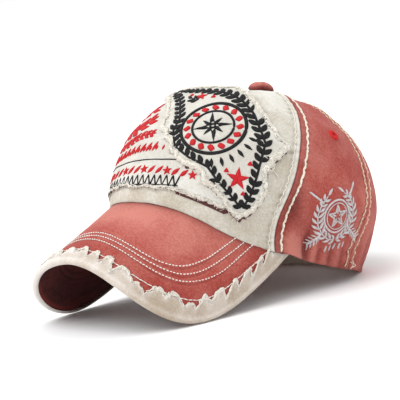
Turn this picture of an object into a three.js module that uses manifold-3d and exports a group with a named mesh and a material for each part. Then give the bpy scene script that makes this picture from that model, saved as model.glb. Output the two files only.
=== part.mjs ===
// A washed canvas cap: five crown panels, a strongly arched peak with a torn canvas border,
// two torn patches on the front, a covered button, sewn eyelets, a sweatband and a back strap.
// Millimetres, +Z up. The peak points to -Y and the wearer's left is +X.
// The origin is on the floor, under the middle of the cap's length.
import * as THREE from 'three';
import { mergeVertices } from 'three/addons/utils/BufferGeometryUtils.js';
import Module from 'manifold-3d';

const wasm = await Module();
wasm.setup();

// Cloth and seams
const CLOTH = 1.6;            // crown wall, two layers of canvas
const SEAM_GAP = 0.4;         // between neighbouring pieces
const RIM_GAP = 0.5;          // between the crown's hem and the peak under it
const PATCH_CLOTH = 1.2;
const PATCH_CUT_HIGH = 40;
const PATCH_GAP = 0.8;        // between the two patches, in degrees of heading
const LAY_GAP = 0.5;          // under cloth laid on the curved panels
const BAND_CLOTH = 1.2;
const BAND_GAP = 0.7;

// Crown. A heading is degrees round from the front, positive to the wearer's left.
// A rise is per cent of the way up a panel, from 0 at the rim to 100 at the button.
const RIM_CENTRE_Y = 20.4;
const BUTTON_BACK = 45.0;     // the button lies this far behind the rim's centre
const CROWN_TOP = 134.7;      // height of the cloth under the button
const NECK_HEIGHT = 51.0;     // the crown is drawn in below this height above the rim
const LEAN_FRONT = 0.50;      // how far the front half tips up, and the back half down
const LEAN_BACK = 0.30;
const LEAN_HEIGHT = 110.0;
const LEAN_POWER = 1.5;       // the lean starts softly above the rim
const RISE_POWER = 1.6;       // spaces the rises evenly along the cloth
const OPEN_TOP = 99.3;        // the panels' tips stop here, under the button
const BUTTON_TOP = 99.99;     // the middle of the button, just off the very top
const NORMAL_STEP = 0.05;     // in heading and rise, for finding the way outwards
const LOWEST_RISE = 0.001;
const HEM_RISE = 0.01;        // anything lower lies on the hem itself

// One row for each heading: widest radius, share drawn in at the rim, and the
// powers that shape the section's fall towards the top and its climb from the rim.
const SECTIONS = [
  { heading: 0, radius: 92.3, drawnIn: 0.028, fall: 0.77, climb: 0.78 },
  { heading: 45, radius: 89.0, drawnIn: 0.105, fall: 0.83, climb: 0.70 },
  { heading: 90, radius: 90.0, drawnIn: 0.184, fall: 1.01, climb: 0.63 },
  { heading: 135, radius: 98.9, drawnIn: 0.079, fall: 0.98, climb: 0.68 },
  { heading: 180, radius: 100.3, drawnIn: 0.071, fall: 0.96, climb: 0.70 },
];

// Height of the rim behind the peak
const RIM_HEIGHTS = [
  { heading: 95, height: 19.4 },
  { heading: 125, height: 6.2 },
  { heading: 146, height: 0.0 },
  { heading: 180, height: 0.0 },
];

// Dents and swellings of the cloth: a negative depth goes in.
const FOLDS = [
  { heading: 0, rise: 76, headingSpread: 42, riseSpread: 13, depth: 2.2 },
  { heading: 70, rise: 17, headingSpread: 8, riseSpread: 9, depth: -2.4 },
  { heading: 85, rise: 10, headingSpread: 8, riseSpread: 8, depth: -1.6 },
  { heading: 99, rise: 14, headingSpread: 7, riseSpread: 9, depth: 1.6 },
  { heading: 113, rise: 7, headingSpread: 9, riseSpread: 8, depth: -1.6 },
  { heading: 96, rise: 72, headingSpread: 8, riseSpread: 9, depth: -1.2 },
  { heading: -72, rise: 16, headingSpread: 8, riseSpread: 9, depth: -2.0 },
  { heading: -92, rise: 12, headingSpread: 8, riseSpread: 8, depth: 1.5 },
  { heading: -108, rise: 7, headingSpread: 9, riseSpread: 8, depth: -1.7 },
  { heading: -94, rise: 70, headingSpread: 8, riseSpread: 9, depth: -1.2 },
  { heading: 152, rise: 44, headingSpread: 9, riseSpread: 10, depth: -1.2 },
  { heading: -155, rise: 48, headingSpread: 8, riseSpread: 12, depth: -1.2 },
];

// Seams, both mirrored to the wearer's right
const FRONT_SEAM = { heading: 68.1, bow: 8.6 };
const SIDE_SEAM = { heading: 116.5, bow: 3.8 };

// Back opening and its strap
const ARCH_HALF_ANGLE = 27;
const ARCH_RISE = 34;
const ARCH_STEPS = 18;
const ARCH_BELOW = -5;        // the cut starts below the rim
const STRAP_HALF_ANGLE = 33;
const STRAP_LOW = 1.2;
const STRAP_HIGH = 11.0;
const STRAP_THICKNESS = 2.0;
const STUDS = { count: 7, pitch: 5.2, rise: 5.2, radius: 2.2, height: 1.4, sides: 6 };

// Sweatband inside the rim
const BAND_LOW = 4;
const BAND_HIGH = 21;

// Peak: height = root - slope forwards - arch, with the arch as two powers of x
const PEAK_ROOT = 77.6;
const PEAK_SLOPE = 0.47;
const PEAK_ARCH_2 = 0.0080;
const PEAK_ARCH_4 = 1.77e-6;
const PEAK_THICKNESS = 2.6;
const PEAK_HALF_ANGLE = 75.8; // where its ends meet the rim
const PEAK_HALF_WIDTH = 70.4;
const PEAK_LENGTH = 58.6;
const PEAK_SIDE_POWER = 3.54;
const PEAK_FRONT_POWER = 3.69;
const PEAK_TUCK = 0.8;        // how far its root goes under the crown's hem
const PEAK_SPREAD = 5.5;      // its front corner on the wearer's right is bent out this far
const SPREAD_REACH = 50;      // within this distance of the middle line and of the rim's front
const HEM_EASE = 4;           // the hem clears the peak for this many degrees past its end
const PEAK_END_POWER = 12;    // its sides turn in only at the very ends
const PEAK_FLOOR = 0.4;       // its lowest points stay this far above the floor
const PEAK_STATIONS = 46;
const PEAK_ROWS = 5;
const EDGE_STEPS = 1200;      // for measuring along its edge

// Border round the peak
const BORDER_CLOTH = 1.0;
const BORDER_GAP = 0.35;
const BORDER_FRONT_WIDTH = 12.0;
const BORDER_SIDE_WIDTH = 15.5;
const BORDER_TEETH = 2.4;
const TOOTH_SIZES = { mean: 0.7, change: 0.3, turn: 2.4 };
const BORDER_RETURN = 2.0;    // how far it goes back under the peak
const BORDER_CLEAR = 2.0;     // kept from the crown
const BORDER_END = 0.03;      // share of the edge left bare at each end
const EDGE_STEP = 0.01;       // share of the edge, for finding the way along it

// Button and eyelets
const BUTTON = { radius: 8.5, height: 5.6, sides: 18 };
const BUTTON_PROFILE = [      // shares of its radius and height
  [0, 0], [0.55, 0], [0.96, 0], [1, 0.28], [0.88, 0.68], [0.6, 0.92], [0, 1],
];
const EYELET = { outer: 4.8, inner: 1.7, height: 1.3, rise: 60, sides: 10, holeSides: 8 };
const CUT_PAST = 2;           // cutters reach this far past the cloth
const EYELET_HEADINGS = { side: 100.5, back: 150 };

// Torn patches on the front panel, as heading and rise of each corner
const BADGE_OUTLINE = [
  [-38, 77], [-20, 80], [5, 81], [28, 79], [46, 68.5], [53, 62], [59, 56], [62.5, 50.5],
  [67.5, 47], [61, 41], [58, 35], [58.5, 28.5], [56, 21.5], [52.5, 18], [49, 14.8],
  [45.5, 17], [42, 19.5], [38.5, 23.5], [34, 26], [31.5, 31.5], [29.5, 34], [22, 35],
  [16, 40], [10.5, 48], [3.5, 54], [-7, 67], [-25, 72],
];
const LOWER_OUTLINE = [
  [-57, 19], [-42, 16], [-30, 17.5], [-20, 17], [-8, 18], [4, 17.5], [14.5, 18.5], [21, 19],
  [28, 18], [34.5, 17.5], [42, 16.5], [50, 25], [50, 45], [44, 66], [30, 84], [6, 86],
  [-20, 85], [-40, 82], [-52, 72], [-59, 56], [-56, 38], [-60, 28],
];

const RED = 0xc4584c;
const CREAM = 0xe0dccf;
const BORDER_CREAM = 0xd2c7b6;
const EYELET_RED = 0xc5202a;
const STRAP_STONE = 0xb3a898;

const radians = THREE.MathUtils.degToRad;
const lerp = THREE.MathUtils.lerp;
const smooth = THREE.MathUtils.smoothstep;

// A smooth, even function of the heading through the five section values
function evenSeries(column) {
  const values = SECTIONS.map((row) => row[column]);
  const last = values.length - 1;
  const terms = values.map((_, order) => {
    let sum = 0;
    values.forEach((value, i) => {
      const share = i === 0 || i === last ? 0.5 : 1;
      sum += share * value * Math.cos((order * i * Math.PI) / last);
    });
    return (sum * (order === 0 || order === last ? 1 : 2)) / last;
  });
  return (angle) => terms.reduce((sum, term, order) => sum + term * Math.cos(order * angle), 0);
}

const radiusAt = evenSeries('radius');
const drawnInAt = evenSeries('drawnIn');
const fallAt = evenSeries('fall');
const climbAt = evenSeries('climb');

// A smooth curve through a table that never overshoots it
function steadyCurve(xs, ys) {
  const steps = xs.slice(1).map((x, i) => x - xs[i]);
  const slopes = steps.map((step, i) => (ys[i + 1] - ys[i]) / step);
  const tangents = xs.map((_, i) => {
    if (i === 0) return slopes[0];
    if (i === slopes.length) return slopes[i - 1];
    if (slopes[i - 1] * slopes[i] <= 0) return 0;
    const before = 2 * steps[i] + steps[i - 1];
    const after = steps[i] + 2 * steps[i - 1];
    return (before + after) / (before / slopes[i - 1] + after / slopes[i]);
  });
  return (x) => {
    let i = 0;
    while (i < steps.length - 1 && x > xs[i + 1]) i += 1;
    const t = THREE.MathUtils.clamp((x - xs[i]) / steps[i], 0, 1);
    const t2 = t * t;
    const t3 = t2 * t;
    return (2 * t3 - 3 * t2 + 1) * ys[i] + (t3 - 2 * t2 + t) * steps[i] * tangents[i]
      + (3 * t2 - 2 * t3) * ys[i + 1] + (t3 - t2) * steps[i] * tangents[i + 1];
  };
}

function rimRadius(angle) {
  return radiusAt(angle) * (1 - drawnInAt(angle));
}

const RIM_FRONT_Y = RIM_CENTRE_Y - rimRadius(0);

function peakTop(x, y) {
  return PEAK_ROOT + PEAK_SLOPE * (y - RIM_FRONT_Y) - PEAK_ARCH_2 * x ** 2 - PEAK_ARCH_4 * x ** 4;
}

function peakNormal(x) {
  const fall = 2 * PEAK_ARCH_2 * x + 4 * PEAK_ARCH_4 * x ** 3;
  return new THREE.Vector3(fall, -PEAK_SLOPE, 1).normalize();
}

function rimPlan(angle, inwards = 0) {
  const radius = rimRadius(angle) - inwards;
  return new THREE.Vector2(radius * Math.sin(angle), RIM_CENTRE_Y - radius * Math.cos(angle));
}

const peakEnd = rimPlan(radians(PEAK_HALF_ANGLE));
const rimBehindPeak = steadyCurve(
  [PEAK_HALF_ANGLE, ...RIM_HEIGHTS.map((row) => row.heading)],
  [peakTop(peakEnd.x, peakEnd.y), ...RIM_HEIGHTS.map((row) => row.height)],
);

// Headings past 180 belong to the other side
function rimHeight(heading) {
  const away = Math.abs(heading) > 180 ? 360 - Math.abs(heading) : Math.abs(heading);
  if (away > PEAK_HALF_ANGLE) return rimBehindPeak(away);
  const plan = rimPlan(radians(heading));
  return peakTop(plan.x, plan.y);
}

function foldDepth(heading, rise) {
  let depth = 0;
  for (const fold of FOLDS) {
    const across = (heading - fold.heading) / fold.headingSpread;
    const along = (rise - fold.rise) / fold.riseSpread;
    depth += fold.depth * Math.exp(-across * across - along * along);
  }
  return depth;
}

function smoothCrown(heading, rise) {
  const angle = radians(heading);
  const tilt = (Math.PI / 2) * (rise / 100) ** RISE_POWER;
  const floor = rimHeight(heading);
  const height = (CROWN_TOP - floor) * Math.sin(tilt) ** climbAt(angle);
  const neck = 1 - drawnInAt(angle) * (1 - smooth(height, 0, NECK_HEIGHT));
  const radius = radiusAt(angle) * Math.cos(tilt) ** fallAt(angle) * neck;
  const forwards = Math.cos(angle);
  const lean = LEAN_FRONT * Math.max(forwards, 0) - LEAN_BACK * Math.max(-forwards, 0);
  const ramp = Math.min(height / LEAN_HEIGHT, 1) ** LEAN_POWER;
  return new THREE.Vector3(
    radius * Math.sin(angle),
    RIM_CENTRE_Y + BUTTON_BACK * Math.sin(tilt) - radius * forwards,
    floor + height + lean * radius * ramp,
  );
}

function crownNormal(heading, rise) {
  const step = NORMAL_STEP;
  const low = Math.max(rise - step, LOWEST_RISE);
  const round = smoothCrown(heading + step, rise).sub(smoothCrown(heading - step, rise));
  const up = smoothCrown(heading, rise + step).sub(smoothCrown(heading, low));
  return round.cross(up).normalize();
}

// A point of the crown, so far outside the panels' outer face
function crownPoint(heading, rise, outwards = 0) {
  const normal = crownNormal(heading, rise);
  return smoothCrown(heading, rise).addScaledVector(normal, outwards + foldDepth(heading, rise));
}

function frontSeam(rise) {
  return FRONT_SEAM.heading + FRONT_SEAM.bow * Math.sin(Math.PI * (rise / 100) ** RISE_POWER);
}

function sideSeam(rise) {
  return SIDE_SEAM.heading + SIDE_SEAM.bow * Math.sin(Math.PI * (rise / 100) ** RISE_POWER);
}

// Half a seam's gap as a heading, wider in degrees towards the top
function seamShare(heading, rise) {
  const centre = new THREE.Vector3(0, RIM_CENTRE_Y + BUTTON_BACK * (rise / 100) ** RISE_POWER, 0);
  const reach = smoothCrown(heading, rise).setZ(0).distanceTo(centre);
  return THREE.MathUtils.radToDeg(SEAM_GAP / 2 / Math.max(reach, 1));
}

// Geometry and solids
const MERGE_WITHIN = 1e-4;

function bare(geometry) {
  const source = geometry.index ? geometry : mergeVertices(geometry);
  source.deleteAttribute('normal');
  source.deleteAttribute('uv');
  const merged = mergeVertices(source, MERGE_WITHIN);
  const kept = [];
  const index = merged.index.array;
  for (let i = 0; i < index.length; i += 3) {
    const [a, b, c] = index.slice(i, i + 3);
    if (a !== b && b !== c && c !== a) kept.push(a, b, c);
  }
  merged.setIndex(kept);
  return merged;
}

function solid(geometry) {
  const clean = bare(geometry);
  return new wasm.Manifold(new wasm.Mesh({
    numProp: 3,
    vertProperties: new Float32Array(clean.attributes.position.array),
    triVerts: new Uint32Array(clean.index.array),
  }));
}

function geometryOf(manifold) {
  const mesh = manifold.getMesh();
  const geometry = new THREE.BufferGeometry();
  geometry.setAttribute('position', new THREE.BufferAttribute(mesh.vertProperties, 3));
  geometry.setIndex(new THREE.BufferAttribute(mesh.triVerts, 1));
  return geometry;
}

function bend(geometry, place) {
  const bent = bare(geometry);
  const position = bent.attributes.position;
  for (let i = 0; i < position.count; i += 1) {
    const point = place(position.getX(i), position.getY(i), position.getZ(i));
    position.setXYZ(i, point.x, point.y, point.z);
  }
  return bent;
}

// A closed slab from 0 to 1 each way, whose opposite faces have the same triangles,
// so that layers laid on each other keep an even gap
function slab(columns, rows) {
  const corner = (i, j, k) => (i * (rows + 1) + j) * 2 + k;
  const points = [];
  for (let i = 0; i <= columns; i += 1) {
    for (let j = 0; j <= rows; j += 1) {
      points.push(i / columns, j / rows, 0, i / columns, j / rows, 1);
    }
  }
  const index = [];
  const face = (a, b, c, d) => index.push(a, b, c, a, c, d);
  for (let i = 0; i < columns; i += 1) {
    for (let j = 0; j < rows; j += 1) {
      face(corner(i, j, 1), corner(i + 1, j, 1), corner(i + 1, j + 1, 1), corner(i, j + 1, 1));
      face(corner(i + 1, j + 1, 0), corner(i + 1, j, 0), corner(i, j, 0), corner(i, j + 1, 0));
    }
    face(corner(i, 0, 0), corner(i + 1, 0, 0), corner(i + 1, 0, 1), corner(i, 0, 1));
    face(corner(i, rows, 1), corner(i + 1, rows, 1), corner(i + 1, rows, 0), corner(i, rows, 0));
  }
  for (let j = 0; j < rows; j += 1) {
    face(corner(0, j + 1, 1), corner(0, j + 1, 0), corner(0, j, 0), corner(0, j, 1));
    face(corner(columns, j, 0), corner(columns, j + 1, 0), corner(columns, j + 1, 1), corner(columns, j, 1));
  }
  const geometry = new THREE.BufferGeometry();
  geometry.setAttribute('position', new THREE.Float32BufferAttribute(points, 3));
  geometry.setIndex(index);
  return geometry;
}

// Columns across one front, side and back panel, and up them
const COLUMNS = { front: 26, side: 12, back: 12 };
const ROWS = 16;
const BAND_BACK_COLUMNS = 5;

// Flat patterns have x as the heading, y as the rise and z as the distance outwards.
function pattern(left, right, low, high, inner, outer, columns, rows) {
  return bend(slab(columns, rows), (x, y, z) => {
    const rise = lerp(low, high, y);
    return new THREE.Vector3(lerp(left(rise), right(rise), x), rise, lerp(inner, outer, z));
  });
}

function cutter(outline, inner, outer) {
  const shape = new THREE.Shape(outline.map(([heading, rise]) => new THREE.Vector2(heading, rise)));
  const prism = new THREE.ExtrudeGeometry(shape, { depth: outer - inner, bevelEnabled: false });
  prism.translate(0, 0, inner);
  return solid(prism);
}

// A flat pattern laid on the crown. Its hem is level, or lies along the top of the peak.
function wrap(flat) {
  return bend(flat, (heading, rise, outwards) => {
    const point = crownPoint(heading, rise, outwards);
    if (rise < HEM_RISE) {
      point.z = rimHeight(heading);
      if (Math.abs(heading) < PEAK_HALF_ANGLE + HEM_EASE) {
        point.z = Math.max(point.z, peakTop(point.x, point.y) + RIM_GAP);
      }
    }
    return point;
  });
}

function ringOutline(heading, rise, radius, sides) {
  const centre = smoothCrown(heading, rise);
  const perDegree = centre.distanceTo(smoothCrown(heading + 1, rise));
  const perRise = centre.distanceTo(smoothCrown(heading, rise + 1));
  return Array.from({ length: sides }, (_, i) => {
    const turn = (2 * Math.PI * i) / sides;
    return [heading + (radius * Math.cos(turn)) / perDegree, rise + (radius * Math.sin(turn)) / perRise];
  });
}

// Crown panels
function eyeletHole(heading) {
  const outline = ringOutline(heading, EYELET.rise, EYELET.inner, EYELET.holeSides);
  return cutter(outline, -CLOTH - CUT_PAST, CUT_PAST);
}

function frontEdge(rise) {
  return frontSeam(rise) - seamShare(frontSeam(rise), rise);
}

function frontPattern(inner, outer) {
  return pattern((rise) => -frontEdge(rise), frontEdge, 0, OPEN_TOP, inner, outer, COLUMNS.front, ROWS);
}

function frontPanel() {
  return wrap(frontPattern(-CLOTH, 0));
}

function sidePanel(side) {
  const near = (rise) => side * (frontSeam(rise) + seamShare(frontSeam(rise), rise));
  const far = (rise) => side * (sideSeam(rise) - seamShare(sideSeam(rise), rise));
  const [left, right] = side > 0 ? [near, far] : [far, near];
  const flat = solid(pattern(left, right, 0, OPEN_TOP, -CLOTH, 0, COLUMNS.side, ROWS));
  return wrap(geometryOf(flat.subtract(eyeletHole(side * EYELET_HEADINGS.side))));
}

function archOutline() {
  const points = Array.from({ length: ARCH_STEPS + 1 }, (_, i) => {
    const turn = (Math.PI * i) / ARCH_STEPS;
    return [180 + ARCH_HALF_ANGLE * Math.cos(turn), ARCH_RISE * Math.sin(turn)];
  });
  const foot = [[180 + ARCH_HALF_ANGLE, ARCH_BELOW], [180 - ARCH_HALF_ANGLE, ARCH_BELOW]];
  return [foot[0], ...points, foot[1]];
}

function backPanel(side) {
  const near = (rise) => side * (sideSeam(rise) + seamShare(sideSeam(rise), rise));
  const far = (rise) => side * (180 - seamShare(180, rise));
  const [left, right] = side > 0 ? [near, far] : [far, near];
  const flat = solid(pattern(left, right, 0, OPEN_TOP, -CLOTH, 0, COLUMNS.back, ROWS));
  const outline = archOutline().map(([heading, rise]) => [side > 0 ? heading : heading - 360, rise]);
  const opened = flat.subtract(cutter(outline, -CLOTH - CUT_PAST, CUT_PAST));
  return wrap(geometryOf(opened.subtract(eyeletHole(side * EYELET_HEADINGS.back))));
}

// Sweatband and strap, both just inside the panels
const INSIDE = -CLOTH - BAND_GAP;

// Its columns lie behind the panels' own, so that both have the same facets.
function bandHeading(column, rise) {
  const away = Math.abs(column) - COLUMNS.front / 2;
  const turn = Math.sign(column);
  if (away <= 0) return (frontSeam(rise) * column) / (COLUMNS.front / 2);
  if (away <= COLUMNS.side) return turn * lerp(frontSeam(rise), sideSeam(rise), away / COLUMNS.side);
  return turn * lerp(sideSeam(rise), 180, (away - COLUMNS.side) / COLUMNS.back);
}

function sweatband() {
  const half = COLUMNS.front / 2 + COLUMNS.side + BAND_BACK_COLUMNS;
  const flat = pattern(() => -half, () => half, BAND_LOW, BAND_HIGH, INSIDE - BAND_CLOTH, INSIDE, 2 * half, 2);
  return wrap(bend(flat, (column, rise, outwards) => {
    return new THREE.Vector3(bandHeading(Math.round(column), rise), rise, outwards);
  }));
}

function snapStrap() {
  const left = () => 180 - STRAP_HALF_ANGLE;
  const right = () => 180 + STRAP_HALF_ANGLE;
  let strap = solid(
    wrap(pattern(left, right, STRAP_LOW, STRAP_HIGH, INSIDE - STRAP_THICKNESS, INSIDE, 18, 2)),
  );
  for (let i = 0; i < STUDS.count; i += 1) {
    const heading = 180 + (i - (STUDS.count - 1) / 2) * STUDS.pitch;
    const stud = new THREE.CylinderGeometry(STUDS.radius, STUDS.radius, STUDS.height + 1, STUDS.sides);
    const seat = crownPoint(heading, STUDS.rise, INSIDE + (STUDS.height - 1) / 2);
    const turn = new THREE.Quaternion();
    turn.setFromUnitVectors(new THREE.Vector3(0, 1, 0), crownNormal(heading, STUDS.rise));
    stud.applyQuaternion(turn).translate(seat.x, seat.y, seat.z);
    strap = strap.add(solid(stud));
  }
  return geometryOf(strap);
}

// Patterns are cut with a slight camber, which keeps each of their facets whole.
const CAMBER = 0.002;

function cambered(geometry, amount) {
  return bend(geometry, (x, y, z) => new THREE.Vector3(x, y, z + amount * (x * x + y * y)));
}

// A flat pattern laid over the front panel, parallel to each of its facets
function layOnFront(flat) {
  const corner = (i, j, outwards) => {
    const rise = (OPEN_TOP * j) / ROWS;
    const edge = frontEdge(rise);
    return crownPoint(lerp(-edge, edge, i / COLUMNS.front), rise, outwards);
  };
  return bend(flat, (heading, rise, outwards) => {
    const across = (0.5 + heading / (2 * frontEdge(rise))) * COLUMNS.front;
    const up = (rise / OPEN_TOP) * ROWS;
    const i = Math.floor(across);
    const j = Math.floor(up);
    const near = corner(i, j, outwards);
    const far = corner(i + 1, j + 1, outwards);
    const right = across - i > up - j;
    const turn = right ? corner(i + 1, j, outwards) : corner(i, j + 1, outwards);
    const first = right ? across - i : up - j;
    const second = right ? up - j : across - i;
    const point = near.clone().addScaledVector(turn.clone().sub(near), first);
    return point.addScaledVector(far.sub(turn), second);
  });
}

// Torn patches: the badge lies in the notch that is cut for it in the lower patch.
function patchSheet(thickness) {
  return solid(cambered(frontPattern(LAY_GAP, LAY_GAP + thickness), CAMBER));
}

function badgePatch() {
  const cut = patchSheet(PATCH_CLOTH * 1.5).intersect(cutter(BADGE_OUTLINE, -1, PATCH_CUT_HIGH));
  return layOnFront(cambered(geometryOf(cut), -CAMBER));
}

// An outline moved outwards all round by a margin
function grown(outline, margin) {
  return outline.map((corner, i) => {
    const here = new THREE.Vector2(...corner);
    const before = new THREE.Vector2(...outline.at(i - 1)).sub(here).normalize();
    const after = new THREE.Vector2(...outline[(i + 1) % outline.length]).sub(here).normalize();
    const along = after.clone().sub(before).normalize();
    const across = new THREE.Vector2(-along.y, along.x);
    here.addScaledVector(across, margin / Math.max(Math.abs(across.cross(after)), 0.5));
    return [here.x, here.y];
  });
}

function lowerPatch() {
  const cut = patchSheet(PATCH_CLOTH).intersect(cutter(LOWER_OUTLINE, -1, PATCH_CUT_HIGH));
  const notched = cut.subtract(cutter(grown(BADGE_OUTLINE, PATCH_GAP), -2, PATCH_CUT_HIGH + 1));
  const pieces = notched.decompose();
  const largest = pieces.reduce((a, b) => (b.volume() > a.volume() ? b : a));
  return layOnFront(cambered(geometryOf(largest), -CAMBER));
}

// Peak
function edgeAt(turn) {
  const reach = PEAK_LENGTH - (RIM_FRONT_Y - peakEnd.y);
  const side = Math.sin(turn);
  const forwards = Math.cos(turn);
  let x = PEAK_HALF_WIDTH * Math.sign(side) * Math.abs(side) ** (2 / PEAK_SIDE_POWER);
  x += Math.sign(side) * (peakEnd.x - PEAK_HALF_WIDTH) * Math.abs(side) ** PEAK_END_POWER;
  return new THREE.Vector2(x, peakEnd.y - reach * Math.abs(forwards) ** (2 / PEAK_FRONT_POWER));
}

// The edge as points at even steps of its length
function evenEdge(count) {
  const fine = Array.from({ length: EDGE_STEPS + 1 }, (_, i) => {
    return edgeAt(lerp(-Math.PI / 2, Math.PI / 2, i / EDGE_STEPS));
  });
  const length = [0];
  fine.slice(1).forEach((point, i) => length.push(length[i] + point.distanceTo(fine[i])));
  const total = length[length.length - 1];
  return Array.from({ length: count + 1 }, (_, k) => {
    const wanted = (total * k) / count;
    let i = 1;
    while (i < length.length - 1 && length[i] < wanted) i += 1;
    return fine[i - 1].clone().lerp(fine[i], (wanted - length[i - 1]) / (length[i] - length[i - 1]));
  });
}

const EDGE = evenEdge(PEAK_STATIONS);

function edgePoint(share) {
  const place = THREE.MathUtils.clamp(share, 0, 1) * PEAK_STATIONS;
  const i = Math.min(Math.floor(place), PEAK_STATIONS - 1);
  return EDGE[i].clone().lerp(EDGE[i + 1], place - i);
}

function rootPoint(share) {
  const angle = radians(lerp(-PEAK_HALF_ANGLE, PEAK_HALF_ANGLE, share));
  return rimPlan(angle, PEAK_TUCK);
}

function onPeakTop(plan) {
  return new THREE.Vector3(plan.x, plan.y, peakTop(plan.x, plan.y));
}

// The peak's front corner on the wearer's right is bent a little further out.
function spreadOut(point) {
  const sideways = smooth(-point.x, 0, SPREAD_REACH);
  const forwards = smooth(RIM_FRONT_Y - point.y, 0, SPREAD_REACH);
  point.x -= PEAK_SPREAD * sideways * forwards;
  return point;
}

// A point of the peak's top, so far in from its edge along the cloth
function inFromEdge(share, distance) {
  const edge = edgePoint(share);
  const root = rootPoint(share);
  const run = onPeakTop(edge).distanceTo(onPeakTop(root));
  const limit = Math.max(run - BORDER_CLEAR - PEAK_TUCK, 0);
  return edge.lerp(root, Math.min(distance, limit) / run);
}

function peak() {
  return bend(slab(PEAK_STATIONS, PEAK_ROWS), (share, inwards, layer) => {
    const plan = edgePoint(share).lerp(rootPoint(share), inwards);
    const point = onPeakTop(plan).addScaledVector(peakNormal(plan.x), (layer - 1) * PEAK_THICKNESS);
    point.z = Math.max(point.z, PEAK_FLOOR);
    return spreadOut(point);
  });
}

// Width of the border, wider at the sides, with an uneven row of torn teeth
function borderWidth(share) {
  const side = Math.abs(share - 0.5) * 2;
  const wide = lerp(BORDER_FRONT_WIDTH, BORDER_SIDE_WIDTH, smooth(side, 0.2, 0.6));
  const station = Math.round(share * PEAK_STATIONS);
  const size = TOOTH_SIZES.mean + TOOTH_SIZES.change * Math.sin(station * TOOTH_SIZES.turn);
  return wide + BORDER_TEETH * size * (station % 2 === 0 ? 1 : -1);
}

// The border's section runs in over the top, round the edge and back under the peak.
const BORDER_PATH = [
  { over: 1 }, { over: 0.66 }, { over: 0.33 }, { turn: 90 }, { turn: 30 }, { turn: -30 },
  { turn: -90 }, { under: BORDER_RETURN },
];

function borderPoint(share, step, layer) {
  const away = BORDER_GAP + layer * BORDER_CLOTH;
  if (step.over) {
    const plan = inFromEdge(share, borderWidth(share) * step.over);
    return onPeakTop(plan).addScaledVector(peakNormal(plan.x), away);
  }
  const edge = edgePoint(share);
  const normal = peakNormal(edge.x);
  const ahead = onPeakTop(edgePoint(share + EDGE_STEP));
  const along = ahead.sub(onPeakTop(edgePoint(share - EDGE_STEP)));
  const outwards = along.cross(normal).normalize();
  const middle = onPeakTop(edge).addScaledVector(normal, -PEAK_THICKNESS / 2);
  const reach = PEAK_THICKNESS / 2 + away;
  if (step.under) {
    const plan = inFromEdge(share, step.under);
    return onPeakTop(plan).addScaledVector(peakNormal(plan.x), -PEAK_THICKNESS - away);
  }
  const turn = radians(step.turn);
  middle.addScaledVector(normal, reach * Math.sin(turn));
  return middle.addScaledVector(outwards, reach * Math.cos(turn));
}

function peakBorder() {
  const first = Math.round(BORDER_END * PEAK_STATIONS);
  const count = PEAK_STATIONS - 2 * first;
  const steps = BORDER_PATH.length - 1;
  return bend(slab(count, steps), (x, y, layer) => {
    const share = (first + Math.round(x * count)) / PEAK_STATIONS;
    const point = borderPoint(share, BORDER_PATH[steps - Math.round(y * steps)], layer);
    point.z = Math.max(point.z, 0);
    return spreadOut(point);
  });
}

// Covered button: its underside follows the crown.
function topButton() {
  const profile = BUTTON_PROFILE.map(([out, up]) => {
    return new THREE.Vector2(out * BUTTON.radius, up * BUTTON.height);
  });
  const lathe = new THREE.LatheGeometry(profile, BUTTON.sides).rotateX(Math.PI / 2);
  const axis = new THREE.Vector3(0, (LEAN_FRONT + LEAN_BACK) / 2, 1).normalize();
  return bend(lathe, (x, y, z) => {
    const heading = THREE.MathUtils.radToDeg(Math.atan2(x, -y));
    const angle = radians(heading);
    const reach = Math.hypot(x, y);
    const tilt = Math.acos((reach / radiusAt(angle)) ** (1 / fallAt(angle)));
    const rise = 100 * (tilt / (Math.PI / 2)) ** (1 / RISE_POWER);
    const seat = smoothCrown(heading, Math.min(rise, BUTTON_TOP));
    return seat.addScaledVector(axis, z + 2 * SEAM_GAP);
  });
}

function eyelet(heading) {
  const { outer, inner, height, rise, sides } = EYELET;
  const profile = [
    [inner, 0], [outer, 0], [outer * 0.93, height * 0.7], [outer * 0.65, height], [inner, height * 0.6],
    [inner, 0],
  ].map(([x, y]) => new THREE.Vector2(x, y));
  const ring = new THREE.LatheGeometry(profile, sides);
  const turn = new THREE.Quaternion();
  turn.setFromUnitVectors(new THREE.Vector3(0, 1, 0), crownNormal(heading, rise));
  const seat = crownPoint(heading, rise, SEAM_GAP);
  return bare(ring.applyQuaternion(turn).translate(seat.x, seat.y, seat.z));
}

const cap = new THREE.Group();

function add(name, geometry, color, roughness) {
  const material = new THREE.MeshStandardMaterial({ color, roughness, metalness: 0 });
  const mesh = new THREE.Mesh(geometry, material);
  mesh.name = name;
  cap.add(mesh);
}

add('front_panel', frontPanel(), CREAM, 0.9);
for (const [name, side] of [['left', 1], ['right', -1]]) {
  add(`side_panel_${name}`, sidePanel(side), RED, 0.9);
  add(`back_panel_${name}`, backPanel(side), RED, 0.9);
  add(`side_eyelet_${name}`, eyelet(side * EYELET_HEADINGS.side), EYELET_RED, 0.6);
  add(`back_eyelet_${name}`, eyelet(side * EYELET_HEADINGS.back), EYELET_RED, 0.6);
}
add('peak', peak(), RED, 0.9);
add('peak_border', peakBorder(), BORDER_CREAM, 0.95);
add('lower_patch', lowerPatch(), CREAM, 0.95);
add('badge_patch', badgePatch(), CREAM, 0.95);
add('top_button', topButton(), RED, 0.9);
add('sweatband', sweatband(), CREAM, 0.9);
add('snap_strap', snapStrap(), STRAP_STONE, 0.5);

export default cap;
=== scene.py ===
"""The looks of a washed canvas cap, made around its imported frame.

Shapes are worked out in millimetres, and each mesh is made in metres. The peak points to -Y
and the wearer's left is +X. A place on the crown is a heading, in degrees round from the
front, and a rise, in per cent of the way up from the rim to the button.
"""

import math

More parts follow.
